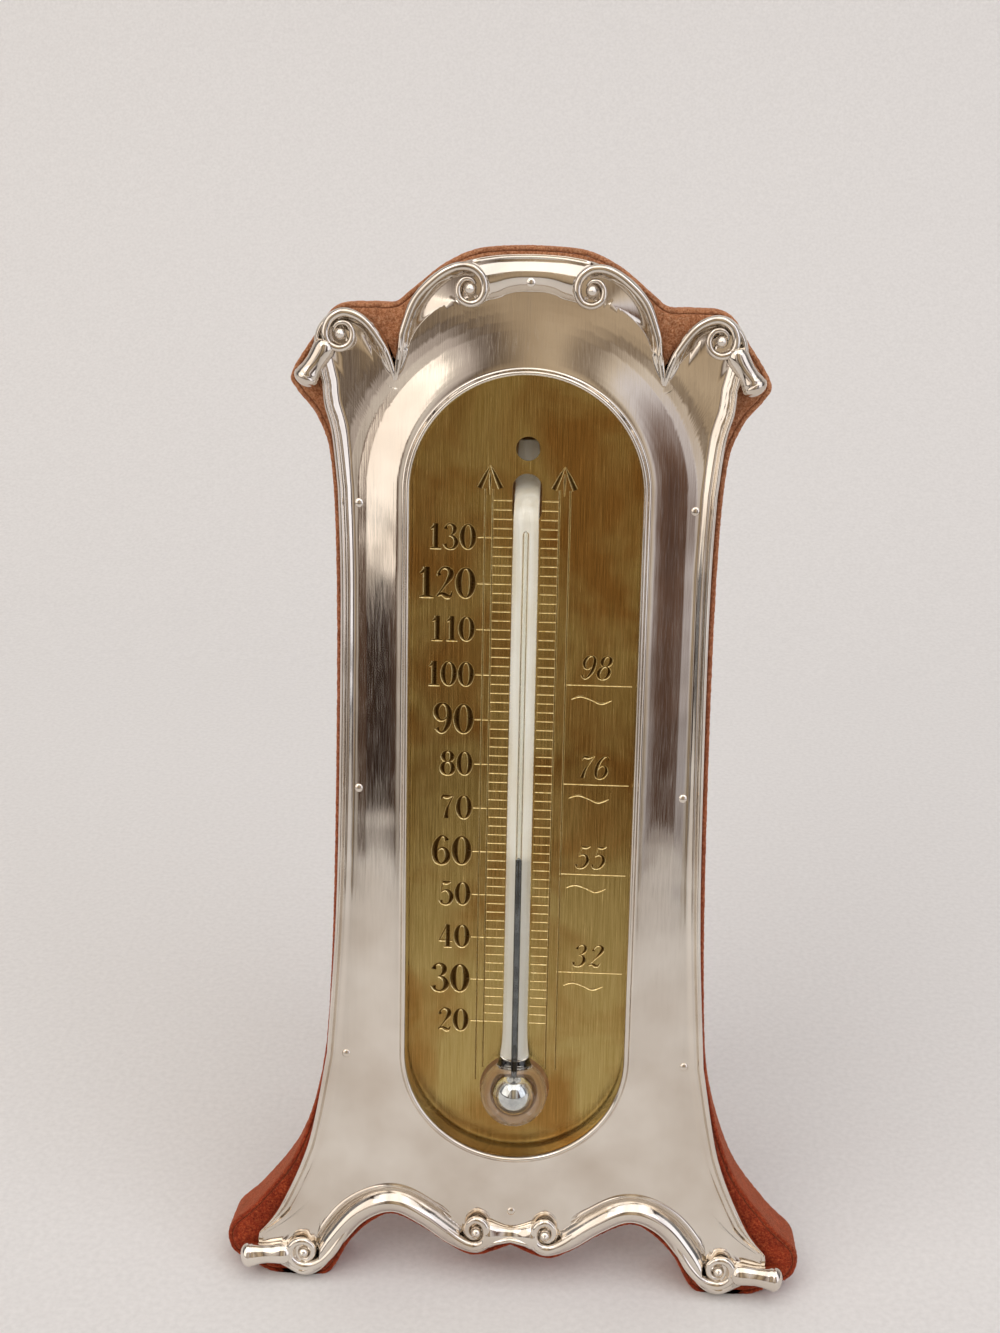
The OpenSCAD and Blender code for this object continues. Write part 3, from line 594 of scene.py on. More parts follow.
# Strokes of the numerals in a box 0.56 wide and 1 high: across, up, width of the cut
DIGITS = {
    "1": [[(.08, .76, .05), (.2, .86, .1), (.28, .98, .05)], [(.28, .98, .17), (.28, .04, .17)],
          [(.06, .03, .05), (.28, .05, .09), (.5, .03, .05)]],
    "2": [[(.12, .72, .13), (.1, .8, .08), (.2, .94, .06), (.34, .96, .08), (.47, .85, .15),
           (.46, .68, .15), (.3, .42, .07), (.12, .16, .05), (.06, .06, .06)],
          [(.06, .08, .06), (.2, .14, .1), (.34, .07, .14), (.46, .06, .09), (.53, .22, .04)]],
    "3": [[(.09, .78, .14), (.14, .92, .06), (.28, .97, .07), (.42, .86, .14), (.42, .68, .13),
           (.3, .54, .05), (.22, .53, .05)],
          [(.26, .54, .05), (.42, .46, .11), (.5, .27, .16), (.42, .08, .1), (.26, .02, .06),
           (.12, .08, .08), (.08, .21, .15)]],
    "4": [[(.36, .97, .06), (.04, .3, .05)], [(.02, .29, .06), (.56, .29, .06)],
          [(.38, .97, .15), (.38, .05, .15)], [(.22, .03, .05), (.38, .04, .08), (.54, .03, .05)]],
    "5": [[(.13, .95, .1), (.3, .92, .12), (.47, .98, .05)], [(.13, .95, .05), (.1, .54, .05)],
          [(.1, .54, .05), (.25, .62, .07), (.42, .54, .13), (.5, .33, .16), (.42, .1, .11),
           (.26, .02, .06), (.12, .08, .08), (.08, .2, .14)]],
    "6": [[(.46, .82, .13), (.38, .95, .06), (.26, .94, .08), (.12, .72, .14), (.07, .42, .16),
           (.12, .14, .13), (.27, .02, .06), (.43, .1, .12), (.5, .3, .15), (.43, .5, .11),
           (.3, .57, .06), (.16, .48, .05), (.1, .36, .05)]],
    "7": [[(.06, .78, .05), (.1, .92, .1), (.26, .9, .14), (.4, .92, .08), (.53, .97, .05)],
          [(.52, .95, .05), (.36, .6, .07), (.27, .3, .13), (.25, .04, .17)]],
}
# Rows of short lines: from and to across, degrees between them, how many, width of the cut
ROWS = [(-5.85, -2.45, 2, 60, 0.26), (2.45, 5.55, 2, 60, 0.26), (-8.3, -5.6, 10, 12, 0.3)]
# Long upright lines, across and lower end, and the arrows over them
RAILS = [(-7.1, 39.8), (-5.8, 42.3), (5.5, 42.3), (7.3, 42.3)]
RAIL_TOP_H = 147.6
ARROW_X = 6.3
ARROW_H = 151.6
# The scale's numbers, every third one larger, end at one place across
NUMBERS = range(20, 131, 10)
NUMBERS_END_X = -8.7
# Plain numbers beside the right column, and the height of the line under each
NOTES = [("98", 114.0), ("76", 96.2), ("55", 79.7), ("32", 61.3)]


def oval_stroke(cx, cy, rx, ry):
    """An oval that is cut thick at its sides and thin at its ends."""
    angles = np.linspace(0.02, 2 * math.pi + 0.02, 33)
    return [(cx + rx * math.cos(a), cy + ry * math.sin(a), 0.05 + 0.12 * abs(math.cos(a)) ** 1.5)
            for a in angles]


def digit_strokes(digit):
    if digit == "0":
        return [oval_stroke(.28, .5, .22, .46)]
    if digit == "8":
        return [oval_stroke(.28, .75, .17, .21), oval_stroke(.28, .28, .21, .26)]
    if digit == "9":
        return [[(.56 - x, 1 - y, w) for x, y, w in stroke] for stroke in DIGITS["6"]]
    return DIGITS[digit]


def groove(points, slope=0.8):
    """A cutter with a V section along (x, h, width) points, its width measured at the face."""
    p = np.asarray(points, float)
    t = np.gradient(p[:, :2], axis=0)
    t /= np.linalg.norm(t, axis=1)[:, None]
    proud = 0.05
    half = p[:, 2] / 2 + proud / slope
    side = np.stack([-t[:, 1], t[:, 0]], axis=1) * half[:, None]
    left, right = p[:, :2] + side, p[:, :2] - side
    rings = [on_board([[l[0], proud, l[1]], [r[0], proud, r[1]], [q[0], -q[2] / 2 * slope, q[1]]])
             for l, r, q in zip(left, right, p)]
    return ring_skin("groove", rings, "caps")


def numeral(text, right_x, low_h, tall, slant=0.0, weight=1.0):
    """Cutters for a plain number that ends at right_x."""
    cutters = []
    left = right_x
    for digit in reversed(text):
        wide = 0.46 if digit == "1" else 0.56
        left -= wide * tall
        for stroke in digit_strokes(digit):
            path = [(left + x * tall + slant * y * tall, low_h + y * tall,
                     (w * 1.25 + 0.015) * weight * tall)
                    for x, y, w in stroke]
            cutters.append(groove(curve_through(path, 0.3), 0.85))
        left -= 0.1 * tall
    return cutters


def row_of_lines(x0, x1, degrees, count, wide):
    """Cutters for short lines across the plate, repeated up the board."""
    one = groove([(x, LOW_MARK_H, wide) for x in (x0, (x0 + x1) / 2, x1)])
    step = degrees * DEGREE_H
    rise = (0, step * MM * math.sin(LEAN), step * MM * math.cos(LEAN))
    return modified(one, "ARRAY", count=count, use_relative_offset=False,
                    use_constant_offset=True, constant_offset_displace=rise)


def engraved_plate(face, cut):
    plate = cad_copy("scale_plate", "engraved_scale_plate", 0.12)
    plate.data.materials.append(face)
    lines = [row_of_lines(*row) for row in ROWS]
    rails = [groove([(x, low, 0.34), (x, 95, 0.36), (x, RAIL_TOP_H, 0.34)]) for x, low in RAILS]
    for side in (-1, 1):
        x = side * ARROW_X
        for barb in (-1, 1):
            rails.append(groove([(x, ARROW_H, 0.15), (x + barb * 0.8, ARROW_H - 1.7, 0.7),
                                 (x + barb * 1.8, ARROW_H - 3.9, 1.0)]))
        rails.append(groove([(x, ARROW_H - 1.2, 0.3), (x, ARROW_H - 2.6, 0.5),
                             (x, ARROW_H - 5, 0.2)]))
    signs = []
    for value in NUMBERS:
        tall = 4.5 if value % 30 else 5.5
        middle_h = LOW_MARK_H + DEGREE_H * (value - NUMBERS[0])
        signs += numeral(str(value), NUMBERS_END_X, middle_h - tall / 2, tall)
    for text, h in NOTES:
        rails.append(groove([(7.1, h, 0.24), (13, h, 0.26), (18.8, h, 0.22)]))
        signs += numeral(text, 14.8, h + 1.0, 4.3, 0.22, 0.8)
        # A plain engraver's flourish under each line
        wave = [(8.4, h - 2.6, 0.12), (10.0, h - 2.0, 0.42), (11.8, h - 2.6, 0.16),
                (13.6, h - 3.2, 0.42), (15.4, h - 2.6, 0.12)]
        signs.append(groove(curve_through(wave, 0.3), 0.75))
    for group in (rails + signs, lines):
        cutter = joined(group, "cutter")
        cutter.data.materials.append(cut)
        modified(plate, "BOOLEAN", operation="DIFFERENCE", solver="EXACT", use_self=True,
                 object=cutter, material_mode="TRANSFER")
        bpy.data.objects.remove(cutter)
    bpy.ops.object.shade_flat()
    return plate


# ---------------------------------------------------------------- glass, enamel and mercury
BULB_R = 6
# The stem narrows a little where it bends, and again to its end in the round hole
BENT_R = 2.15
TIP_R = 1.7
BORE_R = 0.34
# A glass ball magnifies what is in it, so the ball of mercury is smaller than it looks
MERCURY_R = 2.68
THREAD_R = 0.35
COLUMN_FOOT_H = 37.0
COLUMN_TOP_H = 82.9
# A height a little over the column's top
STRETCH_TOP_H = 84.3


def tube_rings(stations, count=40):
    """Round sections at (n, h, radius, angle back from upright) stations on the board's middle."""
    angles = np.linspace(0, 2 * math.pi, count, endpoint=False)
    rings = []
    for n, h, r, back in stations:
        out = np.sin(angles) * r
        rings.append(lay(np.cos(angles) * r, n + out * math.cos(back), h + out * math.sin(back)))
    return rings


def ball(n, h, r, first, last, count):
    """Stations over a ball from one angle to another."""
    return [(n, h + r * math.sin(math.radians(a)), r * math.cos(math.radians(a)), 0)
            for a in np.linspace(first, last, count)]


def through_slot(count):
    """The tube's way back through the slot: (n, h, angle back) stations along its two bends."""
    top = BEND_H + BEND_RISE
    return ([(STEM_N - BEND_R * (1 - math.cos(a)), BEND_H + BEND_R * math.sin(a), a)
             for a in np.linspace(0, BEND, count)]
            + [(BEHIND_N + BEND_R * (1 - math.cos(a)), top - BEND_R * math.sin(a), a)
               for a in np.linspace(BEND, 0, count)])


def glass():
    """The tube from bulb to tip, with its bore as a hollow inside."""
    stations = ball(STEM_N, BULB_H, BULB_R, -90, 53, 30)
    for r, up in ((3.22, 5.25), (2.95, 5.75), (2.78, 6.3), (2.62, 7.1), (2.46, 8.2), (2.33, 9.6),
                  (2.24, 11.4), (STEM_R, 13.5), (STEM_R, 50), (STEM_R, 95)):
        stations.append((STEM_N, BULB_H + up, r, 0))
    stations += [(n, h, BENT_R, back) for n, h, back in through_slot(11)]
    stations += ball(BEHIND_N, TIP_H, TIP_R, 0, 90, 12)
    skin = ring_skin("glass_skin", tube_rings(stations), "poles")
    bore = [(STEM_N, h, r, 0) for h, r in ((40.2, 0), (40.4, 0.2), (40.8, BORE_R), (90, BORE_R),
                                           (140.4, BORE_R), (140.8, 0.25), (141.0, 0))]
    inner = ring_skin("glass_bore", tube_rings(bore, 20), "poles")
    edit(inner)
    bpy.ops.mesh.select_all(action="SELECT")
    bpy.ops.mesh.flip_normals()
    bpy.ops.object.mode_set(mode="OBJECT")
    return smooth(joined([skin, inner], "blown_glass_tube"), 50)


def enamel():
    """The white backing: a flat rod that follows the stem behind the bore, bend and all."""
    # Stations of (n, h, angle back, share of the full section)
    path = [(STEM_N, 45.1, 0, 0.6), (STEM_N, 45.5, 0, 0.85)]
    path += [(STEM_N, h, 0, 1) for h in (46.2, 47, 80, 120, BEND_H)]
    path += [(n, h, back, 1) for n, h, back in through_slot(9)[1:]]
    path += [(BEHIND_N, TIP_H - 2, 0, 0.85), (BEHIND_N, TIP_H, 0, 0.78)]
    angles = np.linspace(0, 2 * math.pi, 20, endpoint=False)
    c, d = np.cos(angles), np.sin(angles)
    # 2.73 mm wide and 0.6 mm thick, its middle 1.15 mm behind the bore
    x = 1.365 * np.sign(c) * np.abs(c) ** 0.5
    out = 0.3 * np.sign(d) * np.abs(d) ** 0.5 - 1.15
    rings = [lay(x * k, n + out * k * math.cos(a), h + out * k * math.sin(a))
             for n, h, a, k in path]
    return smooth(ring_skin("enamel_backing", rings, "caps"), 40)


def mercury_ball():
    rings = tube_rings(ball(STEM_N, BULB_H, MERCURY_R, -90, 90, 33))
    return smooth(ring_skin("mercury_in_bulb", rings, "poles"), 60)


def mercury_column():
    """The thread, in steps of 0.3 mm."""
    stations = [(STEM_N, COLUMN_FOOT_H, 0, 0)]
    stations += [(STEM_N, h, THREAD_R, 0) for h in np.linspace(COLUMN_FOOT_H, COLUMN_TOP_H, 150)]
    stations.append((STEM_N, COLUMN_TOP_H, 0, 0))
    return smooth(ring_skin("mercury_column", tube_rings(stations, 16), "poles"), 60)


# ---------------------------------------------------------------- board, velvet and strut
# The board's right half: across and up, then the place on the window that each is joined to
BOARD = [(0, 187.9), (8.5, 187.3), (14.5, 184.7), (19.8, 180.5), (22.8, 178.3), (27, 178.2),
         (32.5, 177.5), (36.2, 172.5), (40, 166.3), (39, 163.5), (35.6, 159.1), (33.3, 151.5),
         (32.4, 131.5), (32.5, 96.5), (33.3, 62), (35, 41), (39.9, 24.5), (47.1, 14.2),
         (52.3, 8.8), (52.1, 4.2), (48.5, 1.6), (43.2, -0.8), (38.2, -1.4), (33.6, 0.4),
         (30, 6.6), (26, 10.8), (21.9, 12.6), (16.4, 10.2), (11, 6.6), (6.4, 5), (0, 7.4)]
BOARD_MATCHES = [((0, 187.9), 0), ((14.5, 184.7), 0.25), ((22.8, 178.3), 0.56),
                 ((34.5, 176), 0.70), ((40, 166.3), 0.82), ((35.6, 159.1), 1.0),
                 ((32.4, 131.5), 1.18), ((32.5, 96.5), 1.5), ((35, 41), 1.98),
                 ((39.9, 24.5), 2.2), ((52.3, 8.8), 2.43), ((38.2, -1.4), 2.55),
                 ((30, 6.6), 2.63), ((21.9, 12.6), 2.74), ((11, 6.6), 2.87), ((0, 7.4), 3)]
# The strut's right half: across, and down from the hinge pin, to the arch between its feet
STRUT = [(11, -2.4), (11.4, -20), (13.4, -50), (18, -84.08), (22.2, -102.08), (23, -112.08)]
STRUT_ARCH_R = 9
STRUT_ARCH_UP = -108.08
VELVET_T = 0.8
# Without a seed the pile's noise starts from the clock, and differs at each run
noise.seed_set(1)


def fuzz(points, size):
    """Moves points a little by noise, as pile does not lie even."""
    moved = np.array(points)
    for i, q in enumerate(moved):
        moved[i] = q + np.array(noise.noise_vector(Vector(q * 2100))) * size * MM
    return moved


def cloth_rings(loop, inward, section, low_z, place, wear=0.11):
    """Rings for cloth laid along a loop, not under low_z: section is (distance in, depth) pairs,
    and the last ring lies flat."""
    rings = []
    for i, (d, depth) in enumerate(section):
        ring = place(loop + inward * d, depth)
        if i < len(section) - 1:
            ring = fuzz(ring, wear)
        ring[:, 2] = np.maximum(ring[:, 2], low_z * MM)
        rings.append(ring)
    return rings


def board_place(at, n):
    """Places for (x, h) points on the board at one distance forwards, or one for each."""
    return lay(at[:, 0], n, at[:, 1])


def velvets():
    """The plush on the board's front margin, round its edge and over its back."""
    loop = both_halves(curve_through(BOARD, 0.36))
    inward = inward_normals(loop, 0.8)[0]
    front = [(0.86, 0.02), (0.84, 0.4), (0.92, 0.68), (1.1, 0.8), (1.5, 0.84), (2.2, 0.8),
             (3.0, 0.78)]
    edge = [(0.8, 0.3), (0.79, 0.62), (0.62, 0.78), (0.4, 0.83), (0.16, 0.72), (0.02, 0.44),
            (-0.03, 0.1), (-0.04, -0.3), (-0.03, -0.8), (-0.05, -1.3), (-0.04, -1.8),
            (0.0, -2.4), (0.0, -3.0), (-0.02, -3.6), (-0.04, -4.2), (-0.04, -4.8),
            (-0.02, -5.4), (0.0, -6.0), (0.0, -6.6), (-0.02, -7.2), (-0.03, -7.8),
            (0.02, -8.4), (0.16, -8.7), (0.4, -8.83), (0.62, -8.78), (0.79, -8.6), (0.8, -8.0)]
    rear = [(1.6, -8.02), (0.84, -8.02), (0.84, -8.45), (0.94, -8.7), (1.15, -8.83),
            (1.6, -8.87)]
    # The front's cloth runs on flat under the silver to the window, and back under itself
    over = cloth_rings(loop, inward, front, VELVET_T, board_place)
    last, low = front[-1]
    start = loop + inward * last
    finish = window_loop(nearest_values(loop, BOARD_MATCHES), 2.15)
    over += [board_place(start * (1 - t) + finish * t, low) for t in (0.2, 0.4, 0.6, 0.8, 1)]
    over += [board_place(finish, 0.02), over[0]]
    for ring in over[len(front):-1]:
        ring[:, 2] = np.maximum(ring[:, 2], VELVET_T * MM)
    face = ring_skin("velvet_face_panel", over, "loop")
    band = ring_skin("velvet_edge_strip",
                     cloth_rings(loop, inward, edge + edge[:1], 0.0, board_place), "loop")
    back = ring_skin("velvet_back_panel",
                     cloth_rings(loop, inward, rear, VELVET_T, board_place), "caps")
    return [smooth(p, 50) for p in (face, band, back)]


def strut_loop(out):
    """The strut's outline at a depth: where it meets the floor depends on the depth."""
    low = STRUT_ARCH_UP - out * math.tan(OPEN - LEAN)
    side = curve_through(STRUT, 1.0)
    foot_x = float(np.interp(-low, -side[:, 1], side[:, 0]))
    side = side[side[:, 1] > low + 0.3]
    start = math.asin((low - STRUT_ARCH_UP) / STRUT_ARCH_R)
    arch = [(STRUT_ARCH_R * math.cos(a), STRUT_ARCH_UP + STRUT_ARCH_R * math.sin(a))
            for a in np.linspace(start, math.pi / 2, 24)]
    floor = [(x, low) for x in np.linspace(foot_x, arch[0][0], 16)[:-1]]
    top = [(x, STRUT[0][1]) for x in np.linspace(0, STRUT[0][0], 12)[:-1]]
    return both_halves(np.array(top + [tuple(q) for q in side] + floor + arch))


def strut_place(at, out):
    """Places on the strut, moved up along it to the floor where they would be under it."""
    under = np.minimum(lay(at[:, 0], out, at[:, 1], on_strut)[:, 2] / MM, 0)
    return lay(at[:, 0], out, at[:, 1] - under / math.cos(OPEN - LEAN), on_strut)


def strut_cloths():
    """The plush glued on the strut's outer and inner face."""
    outer = [(0.25, 3.2), (0.02, 3.24), (-0.02, 3.42), (0.1, 3.6), (0.35, 3.7), (0.9, 3.7)]
    inner = [(0.25, -0.6), (0.02, -0.64), (-0.02, -0.8), (0.1, -0.98), (0.35, -1.08),
             (0.9, -1.1)]
    cloths = []
    for name, section in (("strut_velvet_back", outer), ("strut_velvet_front", inner)):
        loop = strut_loop(section[-2][1])
        rings = cloth_rings(loop, inward_normals(loop, 0.5)[0], section, 0.0, strut_place, 0.03)
        cloths.append(smooth(ring_skin(name, rings, "caps"), 50))
    return cloths


# ---------------------------------------------------------------- pins, screws and rivets
def turned(name, section, at, place, count):
    """A small turned piece: section is (radius, along) pairs, at is where its axis stands."""
    return smooth(spun(name, section, lambda u, v, a: place(at, u, v, a), count), 35)


def forward(at, u, v, a):
    return lay(at[0] + u, at[1] + a, at[2] + v)


def backward(at, u, v, a):
    return lay(at[0] - u, at[1] - a, at[2] + v)


def out_of_strut(at, u, v, a):
    return lay(at[0] + u, at[1] + a, at[2] + v, on_strut)


def copies(first, spots, home, place):
    """Copies of a piece at other spots, joined with it, each with its own mesh."""
    pieces = [first]
    origin = Vector(place([home])[0])
    for spot in spots:
        twin = first.copy()
        twin.data = first.data.copy()
        bpy.context.collection.objects.link(twin)
        twin.location = Vector(place([spot])[0]) - origin
        pick(twin)
        bpy.ops.object.transform_apply(location=True)
        pieces.append(twin)
    return joined(pieces, first.name)


def silver_pins():
    """Domed silver pins, each seated on the sheet where it stands."""
    spots = [(s * (x - 3.5), h) for x, h in ((33.9, 45), (31.7, 95), (31.8, 145))
             for s in (1, -1)] + [(0, 182.0), (0, 15.2)]
    dome = [(0, -7.5), (0.25, -7.2), (0.4, -6.6), (0.4, -0.06), (0.68, -0.06), (0.75, 0.02),
            (0.72, 0.12), (0.55, 0.25), (0.3, 0.33), (0, 0.36)]
    placed = []
    for x, h in spots:
        flat = np.zeros(1)
        n = silver_height(np.array([x]), np.array([h]), flat, flat, flat, np.full(1, 4.0))
        placed.append((x, CREST_PIN_N if h > 180 else float(n[0]), h))
    first = turned("silver_pin_heads", dome, placed[0], forward, 20)
    return copies(first, placed[1:], placed[0], on_board)


def slotted_screws():
    """The screws through the board's leaf, one of them turned and copied."""
    spots = [(6.4, -9.6, 118.4), (-6.4, -9.6, 118.4)]
    section = [(0, -5.8), (0.4, -5.2), (0.74, -4.4), (0.74, 0), (1.42, 0), (1.5, 0.08),
               (1.5, 0.22), (1.3, 0.4), (0.8, 0.52), (0, 0.56)]
    first = turned("slotted_screws", section, spots[0], backward, 32)
    # The slot is cut askew, as a screw stops
    along, deep = np.array([(-2, 0.26), (2, 0.26), (2, 1.2), (-2, 1.2)]).T
    cutter = ring_skin("cutter", [backward(spots[0], along * 0.8 + side * 0.62 * 0.3,
                                           along * 0.6 - side * 0.8 * 0.3, deep)
                                  for side in (-0.6, 0.6)], "caps")
    modified(first, "BOOLEAN", operation="DIFFERENCE", solver="EXACT", object=cutter)
    bpy.data.objects.remove(cutter)
    return smooth(copies(first, spots[1:], spots[0], on_board), 30)


def domed_rivets():
    """The rivets through the strut and its leaf."""
    spots = [(5, 3.7, -9.5), (-5, 3.7, -9.5)]
    section = [(0, -5.59), (0.8, -5.59), (0.8, 0), (1.62, 0), (1.7, 0.1), (1.62, 0.32),
               (1.3, 0.56), (0.8, 0.7), (0, 0.76)]
    first = turned("domed_rivets", section, spots[0], out_of_strut, 28)
    return copies(first, spots[1:], spots[0], on_strut)


# ---------------------------------------------------------------- finishes
def tone(code):
    """An sRGB hex colour as linear values."""
    values = [int(code[i:i + 2], 16) / 255 for i in (1, 3, 5)]
    return [v / 12.92 if v <= 0.04045 else ((v + 0.055) / 1.055) ** 2.4 for v in values] + [1]


def add_node(tree, kind, inputs=None, stops=None, **settings):
    """Adds a node, sets it up, and fills or links its inputs; stops are for a colour ramp."""
    new = tree.nodes.new("ShaderNode" + kind)
    for key, value in settings.items():
        setattr(new, key, value)
    if stops:
        ramp = new.color_ramp
        while len(ramp.elements) < len(stops):
            ramp.elements.new(0.5)
        for element, (place, colour) in zip(ramp.elements, stops):
            element.position = place
            element.color = tone(colour) if isinstance(colour, str) else [colour] * 3 + [1]
    for key, value in (inputs or {}).items():
        if isinstance(value, bpy.types.NodeSocket):
            tree.links.new(value, new.inputs[key])
        else:
            new.inputs[key].default_value = value
    return new


def new_material(name, **constants):
    """A named material whose shader starts from constants."""
    material = bpy.data.materials.new(name)
    material.use_nodes = True
    shader = material.node_tree.nodes["Principled BSDF"]
    for key, value in constants.items():
        shader.inputs[key.replace("_", " ")].default_value = value
    return material, material.node_tree, shader


def wire(shader, **sources):
    """Links sources to the shader's inputs, which are named as keywords."""
    for key, source in sources.items():
        shader.id_data.links.new(source, shader.inputs[key.replace("_", " ")])


def board_mm(tree, stretch=(1, 1, 1)):
    """Object coordinates in millimetres, turned so that their third axis runs up the board."""
    place = add_node(tree, "TexCoord").outputs["Object"]
    upright = add_node(tree, "Mapping", {
        "Vector": place, "Rotation": (LEAN, 0, 0), "Scale": (1000, 1000, 1000)})
    return add_node(tree, "Mapping", {"Vector": upright.outputs[0], "Scale": stretch}).outputs[0]


def polished_silver():
    """Sterling silver, stamped and mirror polished: warm grey mirror with fine rubbing marks."""
    material, tree, shader = new_material("polished_silver", Metallic=1.0)
    place = board_mm(tree)
    broad = add_node(tree, "TexNoise", {"Vector": place, "Scale": 0.07, "Detail": 3.0})
    colour = add_node(tree, "ValToRGB", {"Fac": broad.outputs["Fac"]},
                      stops=[(0.3, "#D6CBBE"), (0.7, "#EDE6DC")])
    # Rubbing marks 0.1 mm wide and some 4 mm long, in two directions
    marks = []
    for turn in (0.5, -0.9):
        line = add_node(tree, "Mapping", {
            "Vector": place, "Rotation": (0, turn, 0), "Scale": (5, 1, 0.22)})
        marks.append(add_node(tree, "TexNoise", {
            "Vector": line.outputs[0], "Scale": 1.0, "Detail": 4.0}).outputs["Fac"])
    both = add_node(tree, "Math", {0: marks[0], 1: marks[1]}, operation="MULTIPLY").outputs[0]
    rough = add_node(tree, "MapRange", {
        "Value": both, "From Min": 0.15, "From Max": 0.45, "To Min": 0.07, "To Max": 0.18})
    # Stamped sheet is never quite flat: dents some 12 mm across
    dents = add_node(tree, "TexNoise", {"Vector": place, "Scale": 0.08, "Detail": 1.0})
    soft = add_node(tree, "Bump", {
        "Height": dents.outputs["Fac"], "Strength": 0.3, "Distance": 0.0006})
    fine = add_node(tree, "Bump", {
        "Height": both, "Strength": 0.05, "Distance": 0.0001, "Normal": soft.outputs[0]})
    wire(shader, Base_Color=colour.outputs[0], Roughness=rough.outputs[0], Normal=fine.outputs[0])
    return material


def brushed_brass():
    """Rolled brass plate, brushed lengthwise with emery and lightly tarnished, unlacquered."""
    material, tree, shader = new_material("brushed_brass", Metallic=1.0, Anisotropic=0.55,
                                          Anisotropic_Rotation=0.25)
    # Hairs 0.1 mm wide and 8 mm long; stains some 18 mm across
    hair = add_node(tree, "TexNoise", {
        "Vector": board_mm(tree, (9, 1, 0.12)), "Scale": 1.0, "Detail": 5.0,
        "Roughness": 0.65}).outputs["Fac"]
    tarnish = add_node(tree, "TexNoise", {
        "Vector": board_mm(tree), "Scale": 0.055, "Detail": 4.0, "Distortion": 0.6})
    clean = add_node(tree, "ValToRGB", {"Fac": hair}, stops=[(0.3, "#9C8444"), (0.7, "#D6BF80")])
    stain = add_node(tree, "ValToRGB", {"Fac": hair}, stops=[(0.3, "#805F2C"), (0.7, "#BE9150")])
    share = add_node(tree, "MapRange", {
        "Value": tarnish.outputs["Fac"], "From Min": 0.42, "From Max": 0.62})
    mixed = add_node(tree, "Mix", {
        "Factor": share.outputs[0], 6: clean.outputs[0], 7: stain.outputs[0]}, data_type="RGBA")
    rough = add_node(tree, "MapRange", {
        "Value": hair, "From Min": 0.3, "From Max": 0.7, "To Min": 0.14, "To Max": 0.28})
    # The plate waves slowly, some 11 mm across and 33 mm up
    waves = add_node(tree, "TexNoise", {
        "Vector": board_mm(tree, (0.09, 1, 0.03)), "Scale": 1.0, "Detail": 1.0})
    slow = add_node(tree, "Bump", {
        "Height": waves.outputs["Fac"], "Strength": 0.35, "Distance": 0.0006})
    bump = add_node(tree, "Bump", {
        "Height": hair, "Strength": 0.3, "Distance": 0.00005, "Normal": slow.outputs[0]})
    wire(shader, Base_Color=mixed.outputs[2], Roughness=rough.outputs[0], Normal=bump.outputs[0])
    return material


def engraved_brass():
    """The walls of the graver's cuts: bright-cut brass, light near the plate's face, partly a
    painted highlight, and dark at the bottom of the cut, painted shade.
    """
    material, tree, shader = new_material("engraved_brass", Metallic=1.0)
    place = board_mm(tree)
    grit = add_node(tree, "TexNoise", {
        "Vector": place, "Scale": 6.0, "Detail": 3.0}).outputs["Fac"]
    # The walls' light colour is partly bright-cut brass and partly painted highlight
    bright = add_node(tree, "ValToRGB", {"Fac": grit},
                      stops=[(0.35, "#B3934C"), (0.65, "#F4E3B0")])
    # Painted shade darkens the cut from 0.07 mm under the plate's face
    face = Y_SHIFT * math.cos(LEAN)
    down = add_node(tree, "SeparateXYZ", {"Vector": place}).outputs["Y"]
    full = add_node(tree, "MapRange", {
        "Value": down, "From Min": face + 0.07, "From Max": face + 0.13})
    colour = add_node(tree, "Mix", {
        "Factor": full.outputs[0], 6: bright.outputs[0], 7: tone("#755D34")}, data_type="RGBA")
    rough = add_node(tree, "MapRange", {
        "Value": grit, "From Min": 0.3, "From Max": 0.7, "To Min": 0.42, "To Max": 0.2})
    wire(shader, Base_Color=colour.outputs[2], Roughness=rough.outputs[0])
    return material


def rolled_metal(name, dark, light, low, high, stretch):
    """Plain sheet or wire as it comes from the rolls or the draw plate, dulled by handling."""
    material, tree, shader = new_material(name, Metallic=1.0)
    grain = add_node(tree, "TexNoise", {
        "Vector": board_mm(tree, stretch), "Scale": 1.2, "Detail": 5.0}).outputs["Fac"]
    colour = add_node(tree, "ValToRGB", {"Fac": grain}, stops=[(0.3, dark), (0.7, light)])
    rough = add_node(tree, "MapRange", {
        "Value": grain, "From Min": 0.3, "From Max": 0.7, "To Min": high, "To Max": low})
    bump = add_node(tree, "Bump", {"Height": grain, "Strength": 0.2, "Distance": 0.00004})
    wire(shader, Base_Color=colour.outputs[0], Roughness=rough.outputs[0], Normal=bump.outputs[0])
    return material


def drawn_glass():
    """Lead glass drawn into a tube and blown into a bulb: clear, with faint draw lines."""
    material, tree, shader = new_material(
        "drawn_lead_glass", Roughness=0.0, IOR=1.62, Transmission_Weight=1.0,
        Base_Color=tone("#F6F9F5"))
    lines = add_node(tree, "TexNoise", {
        "Vector": board_mm(tree, (1.6, 1.6, 0.02)), "Scale": 1.0, "Detail": 2.0})
    bump = add_node(tree, "Bump", {
        "Height": lines.outputs["Fac"], "Strength": 0.05, "Distance": 0.0001})
    wire(shader, Normal=bump.outputs[0])
    return material


def fused_enamel():
    """Opal-white enamel rod fused into the stem behind the bore."""
    material, tree, shader = new_material("opal_enamel", Roughness=0.35)
    milk = add_node(tree, "TexNoise", {
        "Vector": board_mm(tree, (1, 1, 0.1)), "Scale": 0.9, "Detail": 3.0})
    colour = add_node(tree, "ValToRGB", {"Fac": milk.outputs["Fac"]},
                      stops=[(0.3, "#EFE7D6"), (0.7, "#FBF8F0")])
    wire(shader, Base_Color=colour.outputs[0])
    return material


